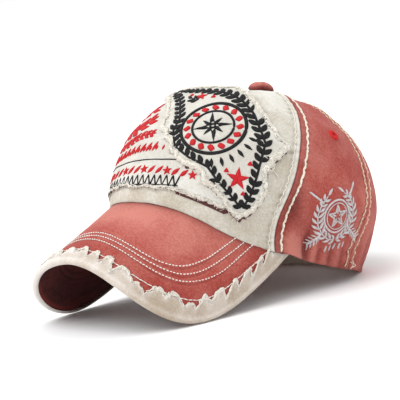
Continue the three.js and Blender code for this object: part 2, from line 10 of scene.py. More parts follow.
import bpy
import numpy as np
from mathutils import Matrix, Vector
from mathutils.bvhtree import BVHTree
from mathutils.geometry import delaunay_2d_cdt


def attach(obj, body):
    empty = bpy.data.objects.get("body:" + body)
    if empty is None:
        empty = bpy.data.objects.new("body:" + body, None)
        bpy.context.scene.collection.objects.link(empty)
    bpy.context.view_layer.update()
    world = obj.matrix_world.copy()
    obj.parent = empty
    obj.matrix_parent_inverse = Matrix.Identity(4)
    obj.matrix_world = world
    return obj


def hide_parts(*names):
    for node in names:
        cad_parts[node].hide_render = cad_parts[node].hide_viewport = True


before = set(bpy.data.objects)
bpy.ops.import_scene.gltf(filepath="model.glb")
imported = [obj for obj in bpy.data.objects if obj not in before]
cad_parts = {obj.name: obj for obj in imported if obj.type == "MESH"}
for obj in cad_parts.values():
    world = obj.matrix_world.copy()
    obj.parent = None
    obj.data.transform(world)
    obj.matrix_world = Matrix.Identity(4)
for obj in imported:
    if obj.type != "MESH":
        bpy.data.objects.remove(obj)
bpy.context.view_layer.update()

MM = 0.001

# Camera, from the outlines in the photograph
IMAGE_PX = 400
FOCAL_PX = 1906.3
SENSOR_MM = 36.0
VIEW_AZIMUTH = 47.5
VIEW_ELEVATION = 6.99
VIEW_ROLL = -6.93
VIEW_DISTANCE = 1301.0
VIEW_TARGET = (16.2, -20.5, 71.1)
CLIP_NEAR, CLIP_FAR = 0.05, 30.0  # metres

# Key light: the way to it, its strength, and how wide it is in degrees
KEY_WAY, KEY_STRENGTH, KEY_WIDTH = (-0.15, -0.55, 1.0), 1.7, 50

# Crown, as in the part's source
CLOTH = 1.6
RIM_CENTRE_Y = 20.4
BUTTON_BACK = 45.0
CROWN_TOP = 134.7
NECK_HEIGHT = 51.0
LEAN_FRONT = 0.50
LEAN_BACK = 0.30
LEAN_HEIGHT = 110.0
LEAN_POWER = 1.5
RISE_POWER = 1.6
OPEN_TOP = 99.3
HIGHEST_RISE = 99.99
LOWEST_RISE = 1e-3
NORMAL_STEP = 0.05

# Each section's heading, widest radius, share drawn in at the rim, and the powers of its
# fall towards the top and its climb from the rim
SECTIONS = {
    "heading": (0, 45, 90, 135, 180),
    "radius": (92.3, 89.0, 90.0, 98.9, 100.3),
    "drawn_in": (0.028, 0.105, 0.184, 0.079, 0.071),
    "fall": (0.77, 0.83, 1.01, 0.98, 0.96),
    "climb": (0.78, 0.70, 0.63, 0.68, 0.70),
}
RIM_HEIGHTS = {"heading": (95, 125, 146, 180), "height": (19.4, 6.2, 0.0, 0.0)}

# Dents and swellings: heading, rise, spread of each, and depth, negative inwards
FOLDS = (
    (0, 76, 42, 13, 2.2), (70, 17, 8, 9, -2.4), (85, 10, 8, 8, -1.6), (99, 14, 7, 9, 1.6),
    (113, 7, 9, 8, -1.6), (96, 72, 8, 9, -1.2), (-72, 16, 8, 9, -2.0), (-92, 12, 8, 8, 1.5),
    (-108, 7, 9, 8, -1.7), (-94, 70, 8, 9, -1.2), (152, 44, 9, 10, -1.2), (-155, 48, 8, 12, -1.2),
)
# Where the hem turns to the back it is rounded in, the same way, and rises a little
HEM_FOLDS = ((136, 0, 12, 3.6, -3.6), (-136, 0, 12, 3.6, -3.6))
HEM_RISE = 3.6
HEM_RISE_AT, HEM_RISE_SPREAD, HEM_RISE_FADES = 138, 9, 22
# Narrow creases, the same way
CREASES = (
    (76, 24, 3.6, 10, -1.3), (80, 5, 4.0, 8, 1.9), (87.5, 5, 2.2, 9, -2.6), (91.5, 6, 1.7, 9, 1.3),
    (95, 3, 1.3, 6, -1.0), (98.5, 4, 1.5, 6, 0.8), (102.5, 3, 1.4, 7, -1.2), (106.5, 6, 1.8, 8, 0.8),
    (110.5, 4, 1.4, 8, -0.9), (113, 24, 2.0, 12, 0.7), (122, 8, 1.6, 9, -0.6), (131, 9, 2.6, 10, -0.8),
    (138, 13, 3.0, 10, 0.6), (-75, 9, 1.8, 9, -0.8), (-81, 8, 2.2, 9, 0.7), (-90, 7, 2.2, 8, -0.8),
    (-101, 9, 2.6, 9, 0.6), (-112, 12, 2.6, 11, -0.6), (-129, 10, 2.6, 11, 0.6), (-137, 9, 2.8, 10, -0.7),
    (60, 24, 3.0, 12, 0.5), (-58, 22, 3.0, 12, 0.5), (-40, 8, 3.5, 6, -0.4), (12, 7, 4.0, 6, 0.4),
)
FRONT_SEAM, FRONT_SEAM_BOW = 68.1, 8.6
SIDE_SEAM, SIDE_SEAM_BOW = 116.5, 3.8
ARCH_HALF_ANGLE, ARCH_RISE = 27.0, 34.0

# Peak
PEAK_ROOT = 77.6
PEAK_SLOPE = 0.47
PEAK_ARCH_2 = 0.0080
PEAK_ARCH_4 = 1.77e-6
PEAK_THICKNESS = 2.6
PEAK_HALF_ANGLE = 75.8
PEAK_HALF_WIDTH = 70.4
PEAK_LENGTH = 58.6
PEAK_SIDE_POWER = 3.54
PEAK_FRONT_POWER = 3.69
PEAK_END_POWER = 12
PEAK_TUCK = 0.8
PEAK_SPREAD, SPREAD_REACH = 5.5, 50.0
HEM_EASE = 4.0

# Border round the peak
BORDER_CLOTH = 0.7
BORDER_GAP = 0.2
BORDER_RETURN = 1.0
BORDER_CLEAR = 0.5
BORDER_PAST = 3.0
FRAY_END = 0.038

# Band, strap, button and eyelets
BAND_CLOTH = 1.2
BAND_INSIDE = -CLOTH - 0.7
BAND_LOW, BAND_HIGH, BAND_END = 4.0, 21.0, 143.0
STRAP_HALF_ANGLE, STRAP_LOW, STRAP_HIGH, STRAP_THICKNESS = 33.0, 0.0, 11.0, 2.0
STUD_COUNT, STUD_PITCH, STUD_RISE, STUD_RADIUS, STUD_HEIGHT = 7, 5.2, 5.2, 2.2, 1.4
BUTTON_RADIUS, BUTTON_HEIGHT, BUTTON_LIFT = 9.0, 7.6, -0.6
EYELET_OUTER, EYELET_INNER, EYELET_HEIGHT, EYELET_RISE = 4.2, 1.3, 1.3, 60.0
EYELET_HEADINGS = {"side": 100.5, "back": 150.0}

# Torn patches, as the heading and rise of each corner
BADGE_CORNERS = (
    (-38, 77), (-20, 80), (5, 81), (28, 79), (46, 68.5), (53, 62), (59, 56), (62.5, 50.5),
    (67.5, 47), (61, 41), (58, 35), (58.5, 28.5), (56, 21.5), (52.5, 18), (49, 14.8),
    (45.5, 17), (42, 19.5), (38.5, 23.5), (34, 26), (31.5, 31.5), (29.5, 34), (22, 35),
    (16, 40), (10.5, 48), (3.5, 54), (-7, 67), (-25, 72),
)
LOWER_CORNERS = (
    (-57, 19), (-42, 16), (-30, 17.5), (-20, 17), (-8, 18), (4, 17.5), (14.5, 18.5), (21, 19),
    (28, 18), (34.5, 17.5), (42, 16.5), (50, 25), (50, 45), (44, 66), (30, 84), (6, 86),
    (-20, 85), (-40, 82), (-52, 72), (-59, 56), (-56, 38), (-60, 28),
)
# Heights over the front panel: the dark sheets of painted shadow under the patches, the lower patch and the
# badge
UNDER_BASE, UNDER_TOP = 0.1, 0.7
LOWER_BASE, LOWER_TOP = 0.3, 1.4
BADGE_UNDER_TOP, BADGE_BASE, BADGE_TOP = 1.5, 1.55, 3.0


# Small functions of arrays

def smoothstep(x, low, high):
    share = np.clip((x - low) / (high - low), 0, 1)
    return share * share * (3 - 2 * share)


def bell(x, centre, spread):
    return np.exp(-(((x - centre) / spread) ** 2))


def unit(vectors):
    return vectors / np.maximum(np.linalg.norm(vectors, axis=-1, keepdims=True), 1e-9)


def lengths(points, axis=0):
    """Length along a line or a grid's lines, from the first point"""
    steps = np.linalg.norm(np.diff(points, axis=axis), axis=-1)
    start = np.zeros_like(steps.take([0], axis=axis))
    return np.concatenate([start, np.cumsum(steps, axis=axis)], axis=axis)


def at_lengths(line, wanted):
    """A line's points at these lengths along it"""
    along = lengths(line)
    return np.stack([np.interp(wanted, along, line[:, c]) for c in range(line.shape[1])], -1)


def resample(points, step):
    """A line's points at even steps of its length"""
    whole = lengths(points)[-1]
    count = max(int(round(whole / step)), 1)
    return at_lengths(points, np.linspace(0, whole, count + 1))


def right_of(ways):
    """Flat directions, turned a quarter to the right"""
    return np.stack([ways[..., 1], -ways[..., 0]], -1)


def level_frame(out):
    """A level way and a way up, both square to a way out"""
    across = unit(np.cross((0.0, 0.0, 1.0), out))
    return across, np.cross(out, across)


def circle(turn, out):
    """Directions all round a way out"""
    across, up = level_frame(out)
    return np.cos(turn)[:, None] * across + np.sin(turn)[:, None] * up


NOISE_CELLS = 97


def soft_noise(x, y, seed):
    """Smooth noise from -1 to 1, with cells one unit wide"""
    lattice = np.random.default_rng(seed).uniform(-1, 1, (NOISE_CELLS, NOISE_CELLS))
    x, y = np.broadcast_arrays(np.asarray(x, float), np.asarray(y, float))
    i, j = np.floor(x).astype(int), np.floor(y).astype(int)
    u, v = smoothstep(x - i, 0, 1), smoothstep(y - j, 0, 1)

    def corner(a, b):
        return lattice[(i + a) % NOISE_CELLS, (j + b) % NOISE_CELLS]

    near = corner(0, 0) * (1 - u) + corner(1, 0) * u
    far = corner(0, 1) * (1 - u) + corner(1, 1) * u
    return near * (1 - v) + far * v


# Crown surface

def even_series(column):
    """A smooth, even function of the heading through the five section values"""
    values = np.array(SECTIONS[column])
    last = len(values) - 1
    orders = np.arange(last + 1)
    ends = np.where((orders == 0) | (orders == last), 0.5, 1.0)
    waves = np.cos(np.outer(orders, orders) * np.pi / last)
    terms = 2 / last * ends * (waves @ (ends * values))
    return lambda angle: sum(term * np.cos(order * angle) for order, term in enumerate(terms))


radius_at = even_series("radius")
drawn_in_at = even_series("drawn_in")
fall_at = even_series("fall")
climb_at = even_series("climb")


def steady_curve(xs, ys):
    """A smooth curve through a table that never overshoots it"""
    xs, ys = np.array(xs, float), np.array(ys, float)
    steps = np.diff(xs)
    slopes = np.diff(ys) / steps
    tangents = np.concatenate([slopes[:1], np.zeros(len(xs) - 2), slopes[-1:]])
    for i in range(1, len(xs) - 1):
        if slopes[i - 1] * slopes[i] > 0:
            before, after = 2 * steps[i] + steps[i - 1], steps[i] + 2 * steps[i - 1]
            tangents[i] = (before + after) / (before / slopes[i - 1] + after / slopes[i])

    def curve(x):
        i = np.clip(np.searchsorted(xs, x) - 1, 0, len(steps) - 1)
        t = np.clip((x - xs[i]) / steps[i], 0, 1)
        rest = 1 - t
        start = (1 + 2 * t) * rest * rest * ys[i] + t * rest * rest * steps[i] * tangents[i]
        return start + t * t * (3 - 2 * t) * ys[i + 1] - t * t * rest * steps[i] * tangents[i + 1]

    return curve


def rim_plan(angle, inwards=0.0):
    """The crown's rim as seen from above"""
    radius = radius_at(angle) * (1 - drawn_in_at(angle)) - inwards
    return np.stack([radius * np.sin(angle), RIM_CENTRE_Y - radius * np.cos(angle)], -1)


RIM_FRONT_Y = rim_plan(0.0)[1]
PEAK_END = rim_plan(math.radians(PEAK_HALF_ANGLE))


def peak_height(x, y):
    """Height of the peak's top, which slopes forwards and arches from side to side"""
    return PEAK_ROOT + PEAK_SLOPE * (y - RIM_FRONT_Y) - PEAK_ARCH_2 * x**2 - PEAK_ARCH_4 * x**4


rim_behind_peak = steady_curve(
    (PEAK_HALF_ANGLE, *RIM_HEIGHTS["heading"]), (peak_height(*PEAK_END), *RIM_HEIGHTS["height"])
)


def rim_height(heading):
    """Height of the crown's rim, which follows the peak and then falls to the floor"""
    away = np.abs(heading)
    away = np.where(away > 180, 360 - away, away)
    plan = rim_plan(np.radians(heading))
    over_peak = peak_height(plan[..., 0], plan[..., 1])
    return np.where(away > PEAK_HALF_ANGLE, rim_behind_peak(away), over_peak)


def smooth_crown(heading, rise):
    """The crown's surface without its folds"""
    angle = np.radians(heading)
    tilt = np.pi / 2 * (np.clip(rise, 0, HIGHEST_RISE) / 100) ** RISE_POWER
    floor = rim_height(heading)
    height = (CROWN_TOP - floor) * np.sin(tilt) ** climb_at(angle)
    neck = 1 - drawn_in_at(angle) * (1 - smoothstep(height, 0, NECK_HEIGHT))
    radius = radius_at(angle) * np.cos(tilt) ** fall_at(angle) * neck
    forwards = np.cos(angle)
    lean = LEAN_FRONT * np.maximum(forwards, 0) - LEAN_BACK * np.maximum(-forwards, 0)
    ramp = np.minimum(height / LEAN_HEIGHT, 1) ** LEAN_POWER
    y = RIM_CENTRE_Y + BUTTON_BACK * np.sin(tilt) - radius * forwards
    return np.stack([radius * np.sin(angle), y, floor + height + lean * radius * ramp], -1)


def crown_normal(heading, rise):
    round_it = smooth_crown(heading + NORMAL_STEP, rise) - smooth_crown(heading - NORMAL_STEP, rise)
    below = np.maximum(rise - NORMAL_STEP, LOWEST_RISE)
    up = smooth_crown(heading, rise + NORMAL_STEP) - smooth_crown(heading, below)
    return unit(np.cross(round_it, up))


def fold_depth(heading, rise, folds=FOLDS + HEM_FOLDS):
    """How far folds push the cloth out"""
    return sum(
        depth * bell(heading, at, spread) * bell(rise, up, rise_spread)
        for at, up, spread, rise_spread, depth in folds
    )


def crown_point(heading, rise, outwards=0.0):
    """The crown's surface with its folds, moved outwards"""
    heading, rise = np.broadcast_arrays(np.asarray(heading, float), np.asarray(rise, float))
    depth = outwards + fold_depth(heading, rise)
    points = smooth_crown(heading, rise) + crown_normal(heading, rise) * np.asarray(depth)[..., None]
    risen = bell(np.abs(heading), HEM_RISE_AT, HEM_RISE_SPREAD) * (1 - smoothstep(rise, 0, HEM_RISE_FADES))
    points[..., 2] += HEM_RISE * risen
    return points


def front_seam(rise):
    return FRONT_SEAM + FRONT_SEAM_BOW * np.sin(np.pi * (rise / 100) ** RISE_POWER)


def side_seam(rise):
    return SIDE_SEAM + SIDE_SEAM_BOW * np.sin(np.pi * (rise / 100) ** RISE_POWER)


# Peak surface

def peak_normal(x):
    fall = 2 * PEAK_ARCH_2 * x + 4 * PEAK_ARCH_4 * x**3
    return unit(np.stack([fall, np.full_like(fall, -PEAK_SLOPE), np.ones_like(fall)], -1))


def spread_out(points):
    """The peak's front corner on the wearer's right is bent a little further out"""
    sideways = smoothstep(-points[..., 0], 0, SPREAD_REACH)
    forwards = smoothstep(RIM_FRONT_Y - points[..., 1], 0, SPREAD_REACH)
    points[..., 0] -= PEAK_SPREAD * sideways * forwards
    return points


def on_peak(plan, height=0.0):
    """A point over the peak's top, from its place as seen from above"""
    top = np.concatenate([plan, peak_height(plan[..., 0], plan[..., 1])[..., None]], -1)
    return spread_out(top + peak_normal(plan[..., 0]) * np.asarray(height)[..., None])


EDGE_SAMPLES = 3000
END_SAMPLES = 40  # the edge's last points, which give its direction there


def even_edge():
    """The peak's edge, at even steps of its length in plan"""
    turn = np.linspace(-np.pi / 2, np.pi / 2, EDGE_SAMPLES)
    side, forwards = np.sin(turn), np.cos(turn)
    x = PEAK_HALF_WIDTH * np.sign(side) * np.abs(side) ** (2 / PEAK_SIDE_POWER)
    x += np.sign(side) * (PEAK_END[0] - PEAK_HALF_WIDTH) * np.abs(side) ** PEAK_END_POWER
    reach = PEAK_LENGTH - (RIM_FRONT_Y - PEAK_END[1])
    y = PEAK_END[1] - reach * np.abs(forwards) ** (2 / PEAK_FRONT_POWER)
    line = np.stack([x, y], -1)
    return resample(line, lengths(line)[-1] / EDGE_SAMPLES)


EDGE = even_edge()
EDGE_LENGTH = lengths(on_peak(EDGE))[-1]
END_WAYS = unit(np.stack([EDGE[0] - EDGE[END_SAMPLES], EDGE[-1] - EDGE[-1 - END_SAMPLES]]))


def edge_point(share):
    """A point of the peak's edge, which runs straight on past its ends"""
    shares = np.linspace(0, 1, len(EDGE))
    inside_share = np.clip(share, 0, 1)
    points = np.stack([np.interp(inside_share, shares, EDGE[:, c]) for c in (0, 1)], -1)
    past = np.asarray(share - inside_share)[..., None] * EDGE_LENGTH
    return points + np.where(past > 0, END_WAYS[1], END_WAYS[0]) * np.abs(past)


def root_point(share):
    """A point of the line where the peak meets the crown, as seen from above"""
    return rim_plan(np.radians(PEAK_HALF_ANGLE * (2 * share - 1)), PEAK_TUCK)


def in_from_edge(share, distance):
    """The plan of a point so far in from the peak's edge along the cloth"""
    edge, root = edge_point(share), root_point(share)
    run = np.linalg.norm(on_peak(edge) - on_peak(root), axis=-1)
    inwards = np.minimum(distance, np.maximum(run - BORDER_CLEAR - PEAK_TUCK, 0)) / run
    return edge + (root - edge) * inwards[..., None]


class PeakMap:
    """Places on the peak: millimetres along its edge and in from its edge"""

    def press(self, flat, height):
        plan = in_from_edge(flat[..., 0] / EDGE_LENGTH, flat[..., 1])
        points = on_peak(plan, height)
        return points, peak_normal(plan[..., 0])


class Chart:
    """A round map of the cloth in millimetres, seen from a point inside the crown"""

    def __init__(self, heading, rise, depth, tree):
        centre = crown_point(heading, rise)
        self.out = crown_normal(np.float64(heading), np.float64(rise))
        self.across, self.up = level_frame(self.out)
        self.eye = centre - self.out * depth
        self.depth = depth
        self.tree = tree

    def place(self, heading, rise):
        """Where a point of the crown is on the map"""
        sight = crown_point(heading, rise) - self.eye
        flat = np.stack([sight @ self.across, sight @ self.up], -1)
        reach = np.linalg.norm(flat, axis=-1, keepdims=True)
        return unit(flat) * self.depth * np.arctan2(reach, (sight @ self.out)[..., None])

    def press(self, flat, height):
        """Points on the cloth, lifted outwards by a height, and the way out there"""
        reach = np.linalg.norm(flat, axis=-1, keepdims=True)
        turn = reach / self.depth
        sideways = flat[..., :1] * self.across + flat[..., 1:] * self.up
        sight = np.cos(turn) * self.out + np.sin(turn) * sideways / np.maximum(reach, 1e-9)
        points = np.empty_like(sight)
        eye = Vector(self.eye)
        for at in np.ndindex(sight.shape[:-1]):
            hit = self.tree.ray_cast(eye, Vector(sight[at]))[0]
            points[at] = hit if hit is not None else self.eye + sight[at] * self.depth
        return points + sight * np.broadcast_to(height, reach.shape[:-1])[..., None], sight


# Materials

def node(tree, kind, inputs=None, **settings):
    """A shader node with its settings, its inputs set to values or joined to sockets"""
    made = tree.nodes.new("ShaderNode" + kind)
    for key, value in settings.items():
        setattr(made, key, value)
    for key, value in (inputs or {}).items():
        if isinstance(value, bpy.types.NodeSocket):
            tree.links.new(value, made.inputs[key])
        else:
            made.inputs[key].default_value = value
    return made


def mix_colour(tree, share, first, second, blend="MIX"):
    made = node(tree, "Mix", data_type="RGBA", blend_type=blend)
    for socket, value in ((made.inputs[0], share), (made.inputs[6], first), (made.inputs[7], second)):
        if isinstance(value, bpy.types.NodeSocket):
            tree.links.new(value, socket)
        else:
            socket.default_value = value if np.isscalar(value) else (*value[:3], 1.0)
    return made.outputs[2]


def maths(tree, operation, first, second, clamp=False):
    return node(tree, "Math", {0: first, 1: second}, operation=operation, use_clamp=clamp).outputs[0]


def add(tree, first, second, clamp=False):
    return maths(tree, "ADD", first, second, clamp)


def times(tree, first, second):
    return maths(tree, "MULTIPLY", first, second)


def new_material(name):
    material = bpy.data.materials.new(name)
    material.use_nodes = True
    tree = material.node_tree
    tree.nodes.clear()
    shader = node(tree, "BsdfPrincipled")
    output = node(tree, "OutputMaterial")
    tree.links.new(shader.outputs[0], output.inputs[0])
    return material, tree, shader


def dress(tree, shader, colour, roughness, height, strength, depth):
    """Joins the colour, the roughness and the bump to the shader"""
    tree.links.new(colour, shader.inputs["Base Color"])
    tree.links.new(roughness, shader.inputs["Roughness"])
    bump = node(tree, "Bump", {"Height": height, "Strength": strength, "Distance": depth * MM})
    tree.links.new(bump.outputs[0], shader.inputs["Normal"])


WAVE_UNIT = math.pi / 10  # a wave texture of scale 1 has bands this far apart
TWILL_TURN = math.radians(58)
TWILL_CROSS = 0.62  # pitch of the threads across the ribs, as a share of the ribs' own
RIB_SHARE = 0.75
LARGE_BLOTCH, SMALL_BLOTCH = 22 * MM, 1.5 * MM
CLOTH_BUMP, THREAD_BUMP, PLASTIC_BUMP = 0.35, 0.2, 0.1


def bands(tree, place, pitch, direction="X", distortion=0.0):
    scale = WAVE_UNIT / pitch
    wave = node(
        tree, "TexWave", {"Vector": place, "Scale": scale, "Distortion": distortion, "Detail Scale": 2.0},
        bands_direction=direction,
    )
    return wave.outputs["Fac"]


def cloudy(tree, place, size, detail=3.0, roughness=0.55):
    """Noise with blotches of about this size, in the units of the place"""
    return node(
        tree, "TexNoise",
        {"Vector": place, "Scale": 1 / size, "Detail": detail, "Roughness": roughness},
    ).outputs["Fac"]


def spread(tree, value, low, high, to_low=0.0, to_high=1.0):
    return node(
        tree, "MapRange",
        {"Value": value, "From Min": low, "From Max": high, "To Min": to_low, "To Max": to_high},
    ).outputs[0]


def fabric(name, colour, pale_colour, dark, weave="twill", pitch=0.75, relief=0.25, fleck=0.16, blotch=0.5,
           grain=0.2, sheen=0.25):
    """Washed cloth. A point attribute of wear and painted highlight makes it paler; its shade attribute
    darkens it, mostly with painted shade.
    """
    material, tree, shader = new_material(name)
    place = node(tree, "UVMap", uv_map="cloth").outputs[0]
    space = node(tree, "TexCoord").outputs["Object"]
    if weave == "twill":
        turned = node(tree, "Mapping", {"Vector": place, "Rotation": (0, 0, TWILL_TURN)}).outputs[0]
        ribs = bands(tree, turned, pitch, distortion=0.6)
        cross = bands(tree, place, pitch * TWILL_CROSS, "Y", 0.4)
        threads = add(tree, times(tree, ribs, RIB_SHARE), times(tree, cross, 1 - RIB_SHARE))
    else:
        warp = bands(tree, place, pitch, "X", 0.5)
        weft = bands(tree, place, pitch, "Y", 0.5)
        threads = times(tree, add(tree, warp, weft), 0.5)
    wear = node(tree, "Attribute", attribute_name="wear").outputs["Fac"]
    shade = node(tree, "Attribute", attribute_name="shade").outputs["Fac"]
    large = cloudy(tree, space, LARGE_BLOTCH)
    small = cloudy(tree, space, SMALL_BLOTCH, 5.0, 0.7)
    washed = spread(tree, large, 0.42, 0.68, 0.0, blotch)
    speckle = spread(tree, small, 0.40, 0.62, -grain, grain)
    rubbed = add(tree, times(tree, threads, fleck), speckle)
    paling = add(tree, add(tree, wear, washed), rubbed, clamp=True)
    shadow = add(tree, shade, spread(tree, threads, 0.0, 0.35, 0.12, 0.0), clamp=True)
    cloth_colour = mix_colour(tree, shadow, mix_colour(tree, paling, colour, pale_colour), dark)
    height = add(tree, threads, times(tree, small, 0.8))
    dress(tree, shader, cloth_colour, spread(tree, small, 0.3, 0.7, 0.95, 0.82), height, relief, CLOTH_BUMP)
    shader.inputs["Sheen Weight"].default_value = sheen
    shader.inputs["Sheen Roughness"].default_value = 0.6
    shader.inputs["Specular IOR Level"].default_value = 0.2
    return material


def thread(name, colour, second, pitch=0.42, relief=0.5, roughness=0.5, sheen=0.15):
    """Sewing or embroidery thread, with its strands across the stitch"""
    material, tree, shader = new_material(name)
    place = node(tree, "UVMap", uv_map="cloth").outputs[0]
    space = node(tree, "TexCoord").outputs["Object"]
    strands = bands(tree, place, pitch, "X", 0.8)
    patchy = cloudy(tree, space, 1.8 * MM, 3.0)
    # Painted shade in the gaps between the strands; the darker second colour also comes in patches
    between = spread(tree, strands, 0.0, 0.5, 0.55, 0.0)
    share = add(tree, between, spread(tree, patchy, 0.4, 0.7, 0.0, 0.45), clamp=True)
    rough = spread(tree, patchy, 0.3, 0.7, roughness - 0.08, roughness + 0.12)
    dress(tree, shader, mix_colour(tree, share, colour, second), rough, strands, relief, THREAD_BUMP)
    shader.inputs["Sheen Weight"].default_value = sheen
    shader.inputs["Specular IOR Level"].default_value = 0.22
    return material


def plastic(name, colour):
    material, tree, shader = new_material(name)
    space = node(tree, "TexCoord").outputs["Object"]
    grain = cloudy(tree, space, 0.7 * MM, 2.0)
    smears = cloudy(tree, space, 14 * MM, 3.0)
    lighter = tuple(c * 1.2 for c in colour)
    smeared = mix_colour(tree, spread(tree, smears, 0.4, 0.7, 0.0, 0.5), colour, lighter)
    dress(tree, shader, smeared, spread(tree, smears, 0.35, 0.65, 0.38, 0.55), grain, 0.08, PLASTIC_BUMP)
    return material


CORAL = fabric(
    "coral_twill", (0.34, 0.048, 0.036), (0.545, 0.19, 0.152), (0.085, 0.011, 0.009),
    fleck=0.2, blotch=0.38, sheen=0.06,
)
CORAL_INSIDE = fabric("coral_inside", (0.40, 0.09, 0.07), (0.52, 0.20, 0.15), (0.10, 0.02, 0.015), blotch=0.3)
CREAM = fabric(
    "cream_canvas", (0.46, 0.41, 0.325), (0.72, 0.71, 0.65), (0.15, 0.115, 0.08),
    weave="canvas", pitch=0.6, relief=0.3, fleck=0.22, sheen=0.1,
)
PATCH = fabric(
    "patch_canvas", (0.53, 0.505, 0.45), (0.73, 0.72, 0.67), (0.18, 0.14, 0.10),
    weave="canvas", pitch=0.6, relief=0.3, fleck=0.20, sheen=0.1,
)
CREAM_INSIDE = fabric(
    "cream_inside", (0.56, 0.52, 0.44), (0.68, 0.65, 0.58), (0.20, 0.17, 0.13),
    weave="canvas", pitch=0.6,
)
BORDER = fabric(
    "border_canvas", (0.41, 0.33, 0.245), (0.79, 0.735, 0.695), (0.14, 0.10, 0.07),
    weave="canvas", pitch=0.65, relief=0.35, fleck=0.2, blotch=0.35, grain=0.1, sheen=0.1,
)
UNDERSIDE = fabric(
    "dark_twill", (0.046, 0.014, 0.014), (0.230, 0.040, 0.034), (0.016, 0.003, 0.003),
    blotch=0.2, grain=0.08, sheen=0.0,
)
# A dark cloth for the sheets that paint the shadow under the patches' edges
SHADOW_LAYER = fabric("painted_shadow_layer", (0.055, 0.014, 0.012), (0.12, 0.035, 0.03), (0.02, 0.008, 0.008))
BAND = fabric("band_cotton", (0.58, 0.54, 0.46), (0.72, 0.69, 0.62), (0.25, 0.21, 0.16), pitch=0.6)
RED_THREAD = thread("red_thread", (0.60, 0.016, 0.022), (0.34, 0.008, 0.011), roughness=0.6, sheen=0.0)
EYELET_THREAD = thread("eyelet_thread", (0.64, 0.022, 0.022), (0.42, 0.014, 0.014), roughness=0.6, sheen=0.0)
BLACK_THREAD = thread(
    "black_thread", (0.010, 0.010, 0.011), (0.003, 0.003, 0.003), relief=0.4, roughness=0.6, sheen=0.0
)
GREY_THREAD = thread("grey_thread", (0.74, 0.72, 0.73), (0.36, 0.30, 0.30), relief=0.8, sheen=0.05)
CREAM_THREAD = thread("cream_thread", (0.84, 0.79, 0.68), (0.62, 0.52, 0.40), pitch=0.9, roughness=0.75)
WARM_THREAD = thread("warm_thread", (0.80, 0.64, 0.47), (0.58, 0.36, 0.25), pitch=0.9, roughness=0.75)
WHITE_THREAD = thread("white_thread", (0.86, 0.84, 0.79), (0.66, 0.60, 0.52), pitch=0.9, roughness=0.75)
FRAY_THREAD = thread("fray_thread", (0.86, 0.84, 0.77), (0.50, 0.43, 0.34), pitch=0.9, roughness=0.85)
DARK_THREAD = thread("dark_thread", (0.07, 0.016, 0.014), (0.03, 0.008, 0.007), pitch=0.9, roughness=0.85)
CORAL_THREAD = thread("coral_thread", (0.50, 0.10, 0.08), (0.34, 0.05, 0.04), pitch=0.9, roughness=0.75)
STRAP = plastic("strap_plastic", (0.42, 0.36, 0.29))


# Meshes

def closed(faces, outer, inner):
    """Points and faces of a closed sheet between two layers that share their faces"""
    count = len(outer)
    corners = faces.shape[1]
    edges = np.concatenate([faces[:, [k, (k + 1) % corners]] for k in range(corners)])
    _, index, times = np.unique(np.sort(edges, 1), axis=0, return_inverse=True, return_counts=True)
    rim = edges[times[index.ravel()] == 1]
    walls = np.stack([rim[:, 1], rim[:, 0], rim[:, 0] + count, rim[:, 1] + count], -1)
    sheets = faces.tolist() + (faces[:, ::-1] + count).tolist() + walls.tolist()
    return np.concatenate([outer, inner]), sheets, len(faces)


def grid_faces(shape, keep=None):
    index = np.arange(shape[0] * shape[1]).reshape(shape[:2])
    quads = np.stack([index[:-1, :-1], index[1:, :-1], index[1:, 1:], index[:-1, 1:]], -1)
    return quads.reshape(-1, 4) if keep is None else quads[keep]


def per_loop(mesh, values):
    at = np.empty(len(mesh.loops), int)
    mesh.loops.foreach_get("vertex_index", at)
    return values[at]


def build(name, points, faces, materials, stands_for=(), uv=None, wear=None, shade=None, kinds=None):
    """A piece of the cap, in metres, that rides on the cap's one body"""
    mesh = bpy.data.meshes.new(name)
    mesh.from_pydata((np.asarray(points) * MM).tolist(), [], faces)
    for material in materials:
        mesh.materials.append(material)
    mesh.polygons.foreach_set("use_smooth", np.ones(len(mesh.polygons), bool))
    if kinds is not None:
        mesh.polygons.foreach_set("material_index", kinds)
    layer = mesh.uv_layers.new(name="cloth")
    flat = np.zeros((len(points), 2)) if uv is None else uv
    layer.data.foreach_set("uv", per_loop(mesh, flat).astype(np.float32).ravel())
    for label, values in (("wear", wear), ("shade", shade)):
        if values is not None:
            attribute = mesh.attributes.new(label, "FLOAT", "POINT")
            attribute.data.foreach_set("value", np.asarray(values, np.float32))
    mesh.update()
    piece = bpy.data.objects.new(name, mesh)
    bpy.context.scene.collection.objects.link(piece)
    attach(piece, "root")
    if stands_for:
        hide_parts(*stands_for)
    return piece


def build_sheet(name, faces, outer, inner, materials, stands_for, uv, wear, shade):
    """A piece of cloth between two layers of points; its last material is on its inner face"""
    points, sheets, count = closed(faces, outer.reshape(-1, 3), inner.reshape(-1, 3))
    kinds = np.zeros(len(sheets), np.int32)
    kinds[count:2 * count] = len(materials) - 1
    return build(
        name, points, sheets, materials, stands_for, uv=np.tile(uv.reshape(-1, 2), (2, 1)),
        wear=np.tile(wear.ravel(), 2), shade=np.tile(shade.ravel(), 2), kinds=kinds,
    )


def merged(parts):
    """Several meshes' points, faces and texture places as one"""
    points, faces, places = [], [], []
    count = 0
    for part_points, part_faces, part_places in parts:
        points.append(part_points)
        places.append(part_places)
        faces.extend([[corner + count for corner in face] for face in part_faces])
        count += len(part_points)
    return np.concatenate(points), faces, np.concatenate(places)


def join(name, parts, material, stands_for=()):
    """One piece made of several meshes"""
    points, faces, places = merged(parts)
    return build(name, points, faces, (material,), stands_for, uv=places)


